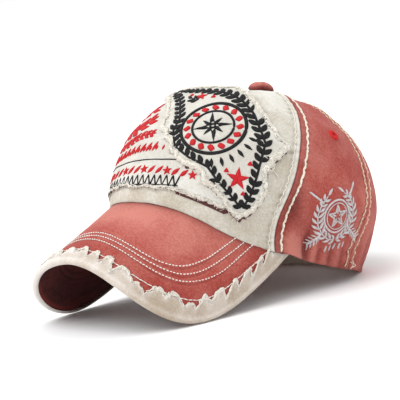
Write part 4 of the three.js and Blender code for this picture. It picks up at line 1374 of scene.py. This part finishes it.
def patch_mesh(outline):
    """The flat points and triangles of a patch"""
    low, high = outline.min(0), outline.max(0)
    xs = np.arange(low[0], high[0], PATCH_PITCH)
    ys = np.arange(low[1], high[1], PATCH_PITCH * 0.87)
    x, y = np.meshgrid(xs, ys)
    x = x + (np.arange(len(ys)) % 2)[:, None] * PATCH_PITCH / 2
    points = np.stack([x.ravel(), y.ravel()], -1)
    points = points[inside(points, outline)]
    points = points[from_outline(points, outline) > PATCH_PITCH * 0.55]
    every = np.concatenate([outline, points])
    ring = [(i, (i + 1) % len(outline)) for i in range(len(outline))]
    made = delaunay_2d_cdt([Vector(p) for p in every], ring, [], 1, 1e-5)
    flat = np.array([tuple(p) for p in made[0]])
    faces = np.array([f for f in made[2] if len(f) == 3])
    a, b, c = (flat[faces[:, k]] for k in range(3))
    turn = (b[:, 0] - a[:, 0]) * (c[:, 1] - a[:, 1]) - (b[:, 1] - a[:, 1]) * (c[:, 0] - a[:, 0])
    faces[turn < 0] = faces[turn < 0][:, ::-1]
    return flat, faces


def patch(name, surface, outline, base, top, material, slot, seed, stands_for=(), paling=0.8):
    flat, faces = patch_mesh(outline)
    away = from_outline(flat, outline)
    lift = 0.5 * soft_noise(flat[:, 0] / 6, flat[:, 1] / 6, seed) * np.exp(-away / 3.5)
    lift += 0.12 * soft_noise(flat[:, 0] / 9, flat[:, 1] / 9, seed + 1)
    rounded = (top - base) * 0.5 * np.exp(-away / 0.7)
    outer, _ = surface.press(flat, top + lift - rounded)
    inner, _ = FRONT_CHART.press(flat, np.full(len(flat), base))
    wear = paling * np.exp(-away / 2.6) + 0.14 * soft_noise(flat[:, 0] / 12, flat[:, 1] / 12, seed + 2)
    shade = np.zeros(len(flat))
    piece = build_sheet(name, faces, outer, inner, (material,), stands_for, flat, wear, shade)


BADGE_CURL, CURL_FROM_TO = 1.7, (30, 54)


class BadgeMap:
    """The front's map under the badge, whose top edge stands off the crown"""

    def press(self, flat, height):
        return FRONT_CHART.press(flat, height + BADGE_CURL * smoothstep(flat[..., 1], *CURL_FROM_TO))


BADGE_MAP = BadgeMap()
LOWER_LINE = torn_outline(LOWER_CORNERS, 0.7, 141)
BADGE_LINE = torn_outline(BADGE_CORNERS, 1.25, 143)
# A dark sheet of painted shadow under the lower patch, where it shows below the edge
UNDER_LINE = np.array([
    (-2, -26), (-1, -33.8), (12, -38.8), (22, -42.8), (33, -47), (40, -45), (40, -30), (20, -22),
], float)
# How far the badge's dark sheet of painted shadow shows beyond its edge
BADGE_UNDER_SHIFT = (0.7, -3.7)


def patches():
    under = resample(np.concatenate([UNDER_LINE, UNDER_LINE[:1]]), TORN_STEP)[:-1]
    shifted = BADGE_LINE + BADGE_UNDER_SHIFT
    shadow_sheet, canvas = (SHADOW_LAYER, "dark_twill"), (PATCH, "cream_canvas")
    # Dark sheets of painted shadow that show below the patches' edges
    patch("patch_shadow_layer", FRONT_CHART, under, UNDER_BASE, UNDER_TOP, *shadow_sheet, 151, paling=0.2)
    patch("badge_shadow_layer", FRONT_CHART, shifted, UNDER_BASE, BADGE_UNDER_TOP, *shadow_sheet, 155, paling=0.2)
    patch(
        "lower_patch_canvas", FRONT_CHART, LOWER_LINE, LOWER_BASE, LOWER_TOP, *canvas, 153, ("lower_patch",)
    )
    patch("badge_patch_canvas", BADGE_MAP, BADGE_LINE, BADGE_BASE, BADGE_TOP, *canvas, 157, ("badge_patch",))


def patch_fray():
    def ring(line):
        return np.concatenate([line, line[:2]])

    badge = (BADGE_MAP, ring(BADGE_LINE), BADGE_TOP)
    join("badge_fray", [
        fray(*badge, 1300, 161, length=(1.4, 3.8), radius=(0.14, 0.26), inset=2.4),
        edge_strands(*badge, 220, 162, wander=1.6, radius=(0.26, 0.42)),
        curls(*badge, 240, 165, swing=(0.9, 2.1), wave=(3.0, 5.4), radius=(0.34, 0.56)),
    ], FRAY_THREAD)
    lower = (FRONT_CHART, ring(LOWER_LINE), LOWER_TOP)
    join("lower_patch_fray", [
        fray(*lower, 900, 163, length=(1.2, 3.0), inset=1.2),
        edge_strands(*lower, 240, 164, wander=0.7, radius=(0.2, 0.32)),
        curls(*lower, 110, 166, swing=(0.4, 0.9)),
    ], FRAY_THREAD)


patches()
patch_fray()


# Embroidery: each stroke is a line on a map and its width along it

SATIN_STEP = 1.15
SATIN_ACROSS = np.array([-0.5, -0.32, 0.0, 0.32, 0.5, 0.0])
SATIN_UP = np.array([0.0, 0.8, 1.0, 0.8, 0.0, -0.25])


def stroke(points, width, start=0.6, end=0.6):
    """A line of even width with rounded ends"""
    line = resample(np.array(points, float), SATIN_STEP)
    widths = np.full(len(line), float(width))
    widths[0] *= start
    widths[-1] *= end
    return line, widths


def leaf(base, tip, width, edge_highlight=0.0, fullest=0.45):
    """A pointed leaf from base to tip"""
    base, tip = np.array(base, float), np.array(tip, float)
    share = np.linspace(0, 1, max(int(np.linalg.norm(tip - base) / SATIN_STEP), 4) + 1)
    across = np.array([-(tip - base)[1], (tip - base)[0]])
    line = base + (tip - base) * share[:, None] + across * (edge_highlight * 4 * share * (1 - share))[:, None]
    swell = np.where(share < fullest, share / fullest, (1 - share) / (1 - fullest))
    widths = width * np.clip(np.sin(np.pi / 2 * swell), 0.10, 1)
    return line, widths


def arc(centre, radius, start, end):
    turn = np.radians(np.linspace(start, end, max(int(abs(end - start) / 6), 6)))
    return np.stack([centre[0] + radius * np.cos(turn), centre[1] + radius * np.sin(turn)], -1)


def aim(degrees):
    return np.array([math.cos(math.radians(degrees)), math.sin(math.radians(degrees))])


def satin(surface, strokes, base, height):
    """Meshes of raised satin stitching, one for each stroke"""
    parts = []
    ring = len(SATIN_ACROSS)
    for line, widths in strokes:
        tangent = unit(np.gradient(line, axis=0))
        flat = line[:, None] - right_of(tangent)[:, None] * (widths[:, None] * SATIN_ACROSS)[..., None]
        swell = height * np.minimum(1.0, 0.45 + widths / 3.0)
        points, _ = surface.press(flat, base + swell[:, None] * SATIN_UP)
        count = len(line)
        index = np.arange(count * ring).reshape(count, ring)
        beside = np.roll(index, -1, axis=1)
        quads = np.stack([index[:-1], beside[:-1], beside[1:], index[1:]], -1).reshape(-1, 4)
        faces = quads[:, ::-1].tolist() + [index[0].tolist(), index[-1, ::-1].tolist()]
        run = np.broadcast_to(lengths(line)[:, None], flat.shape[:2])
        places = np.stack([run, np.broadcast_to(widths[:, None] * SATIN_ACROSS, flat.shape[:2])], -1)
        parts.append((points.reshape(-1, 3), faces, places.reshape(-1, 2)))
    return parts


def leafy_branch(stem, leaf_length, leaf_width, gap, splay=38, stem_width=1.3, both=(1, -1), vein=0.0):
    """A stem with pairs of leaves, each leaf split by a vein if it has one"""
    line = resample(np.array(stem, float), gap)
    strokes = [stroke(stem, stem_width)]
    for i in range(len(line) - 1):
        way = math.degrees(math.atan2(*(line[i + 1] - line[i])[::-1]))
        size = leaf_length * (0.75 + 0.25 * math.cos(math.pi * (i / max(len(line) - 1, 1) - 0.4)))
        for hand in both:
            tip = line[i] + aim(way + hand * splay) * size
            if not vein:
                strokes.append(leaf(line[i], tip, leaf_width, 0.08 * hand))
                continue
            aside = aim(way + hand * splay + 90) * (leaf_width / 4 + vein / 2)
            for half in (1, -1):
                middle = (line[i] + tip) / 2 + half * aside
                start, end = line[i] * 0.8 + middle * 0.2, tip * 0.8 + middle * 0.2
                strokes.append(leaf(start, end, leaf_width / 2, 0.06 * half))
    end_way = unit(line[-1] - line[-2])
    strokes.append(leaf(line[-1], line[-1] + end_way * leaf_length, leaf_width))
    return strokes


def star(centre, size, width, points=5, turned=90):
    centre = np.array(centre, float)
    ways = [aim(turned + 360 * k / points) for k in range(points)]
    return [leaf(centre, centre + way * size, width, fullest=0.2) for way in ways]


def kept(strokes, outline, margin):
    """The strokes that stay inside an outline, clear of its edge"""
    return [
        (line, widths) for line, widths in strokes
        if inside(line, outline).all() and from_outline(line, outline).min() > margin
    ]


def clear_of(strokes, outline, margin):
    """The strokes that stay outside an outline"""
    return [
        (line, widths) for line, widths in strokes
        if not inside(line, outline).any() and from_outline(line, outline).min() > margin
    ]


BADGE_MIDDLE = np.array([20.0, 14.5])
RING_OUTER, RING_INNER = 21.0, 13.4
# Between the rings is a row of slanted teeth: their count, their two ends and their slant
TEETH, TOOTH_FOOT, TOOTH_HEAD, TOOTH_SLANT = 16, 15.4, 18.8, 9
# Inside them is a compass rose: its points, how far it is turned, and its long and short reach
ROSE_POINTS, ROSE_TURN = 8, 12
ROSE_LONG, ROSE_SHORT = 12.4, 8.6
# The laurel's two stems, up from the badge's foot
LEFT_STEM = (
    (45, -41), (37, -33), (28.5, -25.5), (20.5, -15.8), (7.5, -9.6), (-2.8, -1.0), (-6.6, 12),
    (-4.5, 25), (-8, 36), (-11, 47), (-19, 60),
)
RIGHT_STEM = (
    (46.5, -41), (51, -31), (53, -18), (53.8, -5), (54.5, 7), (49, 18), (43.5, 28), (35.5, 37),
    (24, 45.5), (11, 52), (-3, 57), (-16, 66),
)


def badge_black():
    """A compass rose in a double ring, with laurel round it that meets at the badge's foot"""
    rings = ((RING_OUTER, 2.5), (RING_INNER, 1.7))
    strokes = [stroke(arc(BADGE_MIDDLE, radius, 0, 360), width) for radius, width in rings]
    for k in range(ROSE_POINTS):
        way = 360 / ROSE_POINTS * k + ROSE_TURN
        reach = ROSE_LONG if k % 2 == 0 else ROSE_SHORT
        tip = BADGE_MIDDLE + aim(way) * reach
        for hand, wide in ((1, 2.5), (-1, 1.2)):
            shoulder = BADGE_MIDDLE + aim(way + hand * 30) * (reach * 0.22)
            strokes.append(leaf(shoulder, tip, wide, -0.05 * hand, fullest=0.3))
    strokes.append(stroke(arc(BADGE_MIDDLE, 1.6, 0, 360), 1.4))
    strokes += leafy_branch(LEFT_STEM, 8.0, 4.8, 5.6, vein=0.5, stem_width=1.6)
    strokes += leafy_branch(RIGHT_STEM, 8.6, 5.0, 5.8, vein=0.5, stem_width=1.6)
    for k in range(6):
        way = aim(-84 + 14 * k)
        strokes.append(leaf(BADGE_MIDDLE + way * 24.4, BADGE_MIDDLE + way * 31, 2.6))
    strokes += leafy_branch([(3, 40.5), (-1.5, 45)], 5.5, 2.8, 3.4)
    return kept(strokes, BADGE_LINE, 1.4)


def badge_red():
    strokes = []
    for k in range(TEETH):
        way = 360 / TEETH * k
        foot = BADGE_MIDDLE + aim(way) * TOOTH_FOOT
        head = BADGE_MIDDLE + aim(way + TOOTH_SLANT) * TOOTH_HEAD
        strokes.append(stroke([foot, head], 3.9, 0.75, 0.75))
    strokes += star((41, -21.5), 7.8, 3.8) + star((5, 45.5), 4.4, 2.3)
    for spot in ((33, -17), (47.5, -10), (45.5, -31), (-3, 50), (14, 43.5)):
        strokes += star(spot, 1.9, 2.2, points=3)
    return kept(strokes, BADGE_LINE, 1.4)


def lower_red():
    strokes = leafy_branch([(-72, 46), (-58, 37), (-42, 33), (-27, 38)], 12, 5.6, 7.8, stem_width=2.4)
    strokes += leafy_branch([(-66, 68), (-52, 58), (-36, 54), (-24, 58)], 11, 5.4, 7.4, stem_width=2.2)
    strokes += leafy_branch([(-62, 22), (-50, 19), (-36, 20), (-22, 17)], 7, 3.4, 5.2, stem_width=1.6)
    for k in range(10):
        x = -62 + 5.3 * k
        y = 9.8 - 0.16 * (x + 60)
        strokes.append(leaf((x - 1.4, y - 3.2), (x + 2.4, y + 3.8), 3.2))
        strokes.append(leaf((x + 1.6, y - 3.4), (x + 2.9, y + 0.4), 2.0))
    for k in range(14):
        x = -66 + 5.9 * k
        y = -4.6 - 0.225 * (x + 64)
        if k % 3 == 1:
            strokes += star((x, y), 3.3, 2.0)
        else:
            strokes.append(leaf((x - 2.8, y - 2.2), (x + 2.9, y + 2.3), 3.0))
    return clear_of(kept(strokes, LOWER_LINE, 1.2), BADGE_LINE, 1.6)


def lower_black():
    """A thin line, and a zigzag stitch over its own base line"""
    strokes = [stroke([(-70, 6.5), (-50, -0.5), (-30, -5), (-12, -8.6), (2, -10.5)], 1.0)]
    base = np.array([(-73, -13.8), (-55, -17.6), (-35, -22.2), (-15, -26.2), (1, -28.6)], float)
    strokes.append(stroke(base, 0.9))
    line = resample(base, 2.3)
    peaks = np.arange(len(line)) % 2
    zigzag = line + np.stack([1.2 * peaks, 7.4 * peaks - 0.8], -1)
    strokes += [stroke([low, high], 1.15) for low, high in zip(zigzag[:-1], zigzag[1:])]
    return strokes


def side_grey():
    """A star in a wreath, over two crossed quills"""
    centre = np.array([1.0, -14.0])
    strokes = []
    for hand in (1, -1):
        turns = np.radians((4, 26, 50, 75, 100, 125, 152))
        stem = [centre + (hand * 16.4 * math.sin(turn), -17.4 * math.cos(turn)) for turn in turns]
        strokes += leafy_branch(stem, 6.8, 2.3, 4.2, stem_width=1.0)
    strokes += [stroke(arc(centre, 11.4, 0, 360), 1.5), stroke(arc(centre, 9.2, 0, 360), 0.8)]
    for k in range(5):
        way = 90 + 72 * k
        tip = centre + aim(way) * 8.2
        for hand in (1, -1):
            strokes.append(stroke([centre + aim(way + hand * 36) * 3.3, tip], 1.3, 1, 0.6))
        strokes.append(leaf(centre + aim(way) * 1.2, centre + aim(way) * 5.6, 1.5))
    for hand in (1, -1):
        foot, head = centre + (-hand * 22.5, -19.5), centre + (hand * 22, 20.5)
        way = head - foot
        strokes += [stroke([foot, foot + way * 0.24], 1.5), stroke([foot + way * 0.76, head], 1.5)]
        for k in range(5):
            root = foot + way * (0.02 + 0.045 * k)
            strokes.append(leaf(root, root + (hand * -1.0, -5.0), 1.3))
            strokes.append(leaf(root, root + (hand * -4.4, 1.4), 1.2))
    for k in range(5):
        foot = centre + (-9 + 4.5 * k, -25)
        strokes.append(stroke([foot, foot + (1.6, 4.2)], 1.4))
    return strokes


SIDE_CHART = Chart(95, 30, 75.0, panel_tree(sides[1]))
SATIN_HEIGHT, THIN_SATIN_HEIGHT, SIDE_SATIN_HEIGHT = 0.75, 0.5, 0.7

for name, surface, strokes, base, height, material, slot in (
    ("badge_black", BADGE_MAP, badge_black(), BADGE_TOP, SATIN_HEIGHT, BLACK_THREAD, "black_thread"),
    ("badge_red", BADGE_MAP, badge_red(), BADGE_TOP, SATIN_HEIGHT, RED_THREAD, "red_thread"),
    ("lower_red", FRONT_CHART, lower_red(), LOWER_TOP, SATIN_HEIGHT, RED_THREAD, "red_thread"),
    ("lower_black", FRONT_CHART, lower_black(), LOWER_TOP, THIN_SATIN_HEIGHT, BLACK_THREAD, "black_thread"),
    ("side_grey", SIDE_CHART, side_grey(), 0.0, SIDE_SATIN_HEIGHT, GREY_THREAD, "grey_thread"),
):
    join(name + "_stitching", satin(surface, strokes, base, height), material)


def loose_threads():
    """A curl of thread off the badge's right edge, and a tail at the foot of each side seam"""
    share = np.linspace(0, 1, 22)
    turn = 1.6 + 6.2 * share
    curl = np.stack([60 + 5.2 * share + 2.6 * np.sin(turn), -7 - 7.5 * share + 2.4 * np.cos(turn)], -1)
    second = np.stack([57 + 6 * share, -24 - 3 * share + 1.8 * np.sin(7 * share)], -1)
    paths, ways = [], []
    for flat, lift in ((curl, 2.6), (second, 2.4)):
        path, out = FRONT_CHART.press(flat, lift * (1 - share) + 0.7)
        paths.append(path)
        ways.append(out)
    for side in (1, -1):
        heading = SIDE_SEAM + 3.0 * np.sin(5 * share) + 1.5 * share
        path = crown_point(side * heading, 3.5 * (1 - share), 0.9 + 2.2 * share)
        path[:, 2] = np.maximum(path[:, 2], 0.5)
        paths.append(path)
        ways.append(crown_normal(side * heading, np.full_like(heading, 2.0)))
    points, faces, places = tubes(np.array(paths), np.array(ways), 0.26, 6)
    build("loose_threads", points, faces, (FRAY_THREAD,), uv=places)


loose_threads()


# Button, eyelets, band and strap

def top_button():
    """A covered button: cloth drawn over a dome, with its pleats"""
    turns, rings = 72, 22
    turn = np.linspace(0, 2 * np.pi, turns, endpoint=False)[:, None]
    share = np.linspace(0, 1, rings)[None]
    dome = np.pi * share
    reach = BUTTON_RADIUS * np.sin(dome) ** 0.72
    over = 1 - 0.72 * (1 - np.maximum(np.cos(dome), 0) ** 1.15)
    under = 0.28 + 0.28 * np.cos(dome)
    height = BUTTON_HEIGHT * np.where(dome < np.pi / 2, over, under)
    crease = 0.10 * np.sin(turn * 8) * np.sin(dome) * smoothstep(share, 0.1, 0.5)
    reach = reach * (1 + 0.02 * soft_noise(turn * 3, 0, 171)) + crease
    heading = np.degrees(np.arctan2(np.sin(turn), -np.cos(turn)))
    angle = np.radians(heading)
    tilt = np.arccos(np.clip(reach / radius_at(angle), 0, 1) ** (1 / fall_at(angle)))
    rise = 100 * (tilt / (np.pi / 2)) ** (1 / RISE_POWER)
    axis = unit(np.array([0, (LEAN_FRONT + LEAN_BACK) / 2, 1.0]))
    foot = smooth_crown(np.broadcast_to(heading, reach.shape), rise)
    points = foot + axis * (height + BUTTON_LIFT)[..., None]
    index = np.arange(turns * rings).reshape(turns, rings)
    beside = np.roll(index, -1, axis=0)
    faces = np.stack([index[:, :-1], index[:, 1:], beside[:, 1:], beside[:, :-1]], -1).reshape(-1, 4)
    uv = np.stack([reach * np.cos(turn), reach * np.sin(turn)], -1).reshape(-1, 2)
    wear = 0.15 + 0.4 * bell(share, 0.3, 0.14) + 0.1 * np.sin(turn * 8) * np.sin(dome)
    # Painted shade, darker from the dome's shoulder down
    shade = np.broadcast_to(0.75 * smoothstep(share, 0.24, 0.48), reach.shape)
    build(
        "top_button_cloth", points.reshape(-1, 3), faces.tolist(), (CORAL,), ("top_button",),
        uv=uv, wear=wear.ravel(), shade=shade.ravel(),
    )


EYELET_THREADS = 26
# The section of an eyelet: distance from the hole's middle, and height over the cloth
EYELET_PROFILE = np.array([
    (EYELET_INNER, -1.7), (EYELET_INNER, 0.5), (EYELET_INNER + 0.5, 1.15),
    (EYELET_INNER + 1.4, EYELET_HEIGHT), (EYELET_OUTER - 0.9, 0.95), (EYELET_OUTER - 0.15, 0.35),
    (EYELET_OUTER, -0.5), (EYELET_OUTER - 0.4, -1.9),
])


def eyelet(name, heading):
    """A sewn eyelet: a ring of satin stitches round a hole through the cloth"""
    turns = EYELET_THREADS * 4
    turn = np.linspace(0, 2 * np.pi, turns, endpoint=False)
    out = crown_normal(np.float64(heading), np.float64(EYELET_RISE))
    seat = crown_point(heading, EYELET_RISE)
    ridge = 0.10 * np.cos(turn * EYELET_THREADS)[:, None]
    reach, height = EYELET_PROFILE.T
    reach, height = reach + ridge * (height > 0), height + ridge * (height > 0.3)
    points = seat + circle(turn, out)[:, None] * reach[..., None] + out * height[..., None]
    index = np.arange(points.shape[0] * points.shape[1]).reshape(points.shape[:2])
    beside = np.roll(index, -1, axis=0)
    after = np.roll(index, -1, axis=1)
    corner = np.roll(beside, -1, axis=1)
    faces = np.stack([index, after, corner, beside], -1).reshape(-1, 4)
    run = np.broadcast_to(turn[:, None] * 3.3, reach.shape)
    uv = np.stack([run, reach], -1).reshape(-1, 2)
    parts = [(points.reshape(-1, 3), faces.tolist(), uv)]
    join(name + "_stitching", parts, EYELET_THREAD, (name,))


def sweatband():
    columns, rows = np.linspace(-BAND_END, BAND_END, 240), np.linspace(BAND_LOW, BAND_HIGH, 14)
    headings, rises = np.meshgrid(columns, rows, indexing="ij")
    ripple = 0.15 * soft_noise(headings / 6, rises / 9, 181)
    outer = crown_point(headings, rises, BAND_INSIDE)
    inner = crown_point(headings, rises, BAND_INSIDE - BAND_CLOTH + ripple)
    along, up = lengths(outer, axis=0), lengths(outer, axis=1)
    wear = 0.5 * bell(np.minimum(up, up[:, -1:] - up), 0, 1.5)
    band = build_sheet(
        "sweatband_cloth", grid_faces(outer.shape), outer, inner, (BAND,), ("sweatband",),
        np.stack([along, up], -1), wear, np.zeros(wear.shape),
    )
    turn = np.linspace(-BAND_END + 1, BAND_END - 1, 900)
    parts = []
    for rise in (BAND_LOW + 1.0, BAND_HIGH - 1.0):
        line = crown_point(turn, rise, BAND_INSIDE - BAND_CLOTH - 0.05)
        inwards = -crown_normal(turn, np.full_like(turn, rise))
        parts.append(stitches(line, inwards, 3.0, 0.8, 0.28, seed=183))
    join("sweatband_stitching", parts, CREAM_THREAD)
    return band, inner


def arch_stitching():
    """Two rows round the back opening, in the panels' own colour"""
    parts = []
    for side in (1, -1):
        panel = backs[side]
        for distance in (1.6, 6.4):
            line, ways = [], []
            for i in range(panel.rise.shape[0]):
                away, rise = panel.arch[i], panel.rise[i]
                if rise[0] <= 0.5 or away.min() > distance:
                    continue
                count = int(np.argmax(away > distance + 3)) or len(away)
                line.append([np.interp(distance, away[:count], panel.outer[i, :count, c]) for c in range(3)])
                ways.append([np.interp(distance, away[:count], panel.out[i, :count, c]) for c in range(3)])
            parts.append(stitches(np.array(line), unit(np.array(ways)), 2.8, 0.82, 0.32, seed=191 + side))
    join("arch_stitching", parts, CORAL_THREAD)


STRAP_CORNER = 0.75
STRAP_TAPER = 4.0  # the strap's ends are rounded over so many degrees


def snap_strap():
    """A plain moulded band with rounded edges and a row of round studs"""
    middle_rise, half_rise = (STRAP_LOW + STRAP_HIGH) / 2, (STRAP_HIGH - STRAP_LOW) / 2
    half_high = np.linalg.norm(crown_point(180, STRAP_HIGH) - crown_point(180, STRAP_LOW)) / 2
    turn = np.radians(np.arange(4) * 30.0)
    section = []
    for quarter, (across, out) in enumerate(((1, 1), (-1, 1), (-1, -1), (1, -1))):
        swing = turn if quarter % 2 == 0 else turn[::-1]
        for angle in swing:
            section.append((
                across * (half_high - STRAP_CORNER + STRAP_CORNER * math.cos(angle)),
                out * (STRAP_THICKNESS / 2 - STRAP_CORNER + STRAP_CORNER * math.sin(angle)),
            ))
    section = np.array(section)
    headings = np.linspace(180 - STRAP_HALF_ANGLE, 180 + STRAP_HALF_ANGLE, 72)
    to_end = (np.abs(headings - 180) - STRAP_HALF_ANGLE + STRAP_TAPER) / STRAP_TAPER
    taper = np.sqrt(np.clip(1 - to_end.clip(0, 1) ** 2, 0.02, 1))
    rises = middle_rise + half_rise * (section[:, 0] / half_high)[None] * taper[:, None]
    depth = BAND_INSIDE - STRAP_THICKNESS / 2 + section[:, 1][None]
    points = crown_point(headings[:, None], rises, depth)
    points[..., 2] = np.maximum(points[..., 2], 0.05)
    ring = len(section)
    index = np.arange(points.shape[0] * ring).reshape(-1, ring)
    beside = np.roll(index, -1, axis=1)
    quads = np.stack([index[:-1], index[1:], beside[1:], beside[:-1]], -1).reshape(-1, 4)
    faces = quads.tolist() + [index[0].tolist(), index[-1, ::-1].tolist()]
    parts = [(points.reshape(-1, 3), faces, np.zeros((points.size // 3, 2)))]
    for k in range(STUD_COUNT):
        parts.append(stud(180 + (k - (STUD_COUNT - 1) / 2) * STUD_PITCH))
    join("snap_strap_plastic", parts, STRAP, ("snap_strap",))


STUD_TURNS = 28
# The section of a stud, as shares of its radius and height
STUD_PROFILE = ((1.0, -0.6), (1.0, 0.55), (0.92, 0.85), (0.72, 1.0), (0.45, 1.0), (0.40, 0.75), (0.05, 0.72))


def stud(heading):
    turn = np.linspace(0, 2 * np.pi, STUD_TURNS, endpoint=False)
    out = crown_normal(np.float64(heading), np.float64(STUD_RISE))
    seat = crown_point(heading, STUD_RISE, BAND_INSIDE)
    around = circle(turn, out) * STUD_RADIUS
    rings = [seat + around * reach + out * STUD_HEIGHT * height for reach, height in STUD_PROFILE]
    points = np.stack(rings, 1)
    index = np.arange(STUD_TURNS * len(STUD_PROFILE)).reshape(STUD_TURNS, -1)
    beside = np.roll(index, -1, axis=0)
    quads = np.stack([index[:, :-1], beside[:, :-1], beside[:, 1:], index[:, 1:]], -1).reshape(-1, 4)
    faces = quads.tolist() + [index[::-1, 0].tolist(), index[:, -1].tolist()]
    return points.reshape(-1, 3), faces, np.zeros((index.size, 2))


top_button()
for side, word in ((1, "left"), (-1, "right")):
    for place, heading in EYELET_HEADINGS.items():
        eyelet(f"{place}_eyelet_{word}", side * heading)
band_sheet = sweatband()
arch_stitching()
snap_strap()


# Sheets of cloth: the area and flat size of each, worked out from its grid and left unused

def declare_grid(piece, outer, held, rests_on):
    """Works out the area and flat size of a sheet whose face is this grid, and leaves them unused"""
    across, along = outer[1:, :-1] - outer[:-1, :-1], outer[:-1, 1:] - outer[:-1, :-1]
    area = np.linalg.norm(np.cross(across, along), axis=-1).sum()
    width, length = lengths(outer, axis=0)[-1].max(), lengths(outer, axis=1)[:, -1].max()
    area = min(area, width * length)


for panel in (front, *sides.values(), *backs.values()):
    declare_grid(panel.piece, panel.outer, "stretched", ["peak"])
declare_grid(*border_sheet, "folded", ["peak"])
declare_grid(*band_sheet, "stretched", ["front_panel"])


# Stage: a pale floor, soft light and the camera

def camera():
    azimuth, elevation, roll = (math.radians(v) for v in (VIEW_AZIMUTH, VIEW_ELEVATION, VIEW_ROLL))
    level = math.cos(elevation)
    back = Vector((math.sin(azimuth) * level, -math.cos(azimuth) * level, math.sin(elevation)))
    right = Vector((math.cos(azimuth), math.sin(azimuth), 0))
    up = back.cross(right)
    rolled_right = right * math.cos(roll) + up * math.sin(roll)
    rolled_up = up * math.cos(roll) - right * math.sin(roll)
    eye = (Vector(VIEW_TARGET) + back * VIEW_DISTANCE) * MM
    data = bpy.data.cameras.new("camera")
    data.sensor_fit = "HORIZONTAL"
    data.sensor_width = SENSOR_MM
    data.lens = FOCAL_PX / IMAGE_PX * SENSOR_MM
    data.clip_start, data.clip_end = CLIP_NEAR, CLIP_FAR
    made = bpy.data.objects.new("camera", data)
    bpy.context.scene.collection.objects.link(made)
    axes = Matrix((rolled_right, rolled_up, back)).transposed()
    made.matrix_world = Matrix.Translation(eye) @ axes.to_4x4()
    bpy.context.scene.camera = made


def soft_sun(name, way, strength, width):
    """Even light from far away, as wide as a big softbox"""
    data = bpy.data.lights.new(name, "SUN")
    data.energy = strength
    data.angle = math.radians(width)
    made = bpy.data.objects.new(name, data)
    bpy.context.scene.collection.objects.link(made)
    made.rotation_euler = (-Vector(way)).to_track_quat("-Z", "Y").to_euler()


FLOOR_HALF = 60.0  # metres


def floor():
    material, tree, shader = new_material("pale_floor")
    space = node(tree, "TexCoord").outputs["Object"]
    dust = cloudy(tree, space, 0.12)
    pale = mix_colour(tree, dust, (0.92, 0.92, 0.925), (0.95, 0.95, 0.95))
    tree.links.new(pale, shader.inputs["Base Color"])
    shader.inputs["Roughness"].default_value = 0.65
    mesh = bpy.data.meshes.new("floor")
    corners = [(x * FLOOR_HALF, y * FLOOR_HALF, 0) for x, y in ((-1, -1), (1, -1), (1, 1), (-1, 1))]
    mesh.from_pydata(corners, [], [(0, 1, 2, 3)])
    mesh.materials.append(material)
    made = bpy.data.objects.new("floor", mesh)
    bpy.context.scene.collection.objects.link(made)


def backdrop():
    """White all round"""
    world = bpy.data.worlds.new("studio")
    bpy.context.scene.world = world
    world.use_nodes = True
    world.node_tree.nodes.clear()
    white = node(world.node_tree, "Background", {"Color": (1, 1, 1, 1), "Strength": 1.0})
    output = node(world.node_tree, "OutputWorld")
    world.node_tree.links.new(white.outputs[0], output.inputs[0])


camera()
floor()
backdrop()
soft_sun("key", KEY_WAY, KEY_STRENGTH, KEY_WIDTH)
bpy.context.scene.view_settings.view_transform = "Standard"
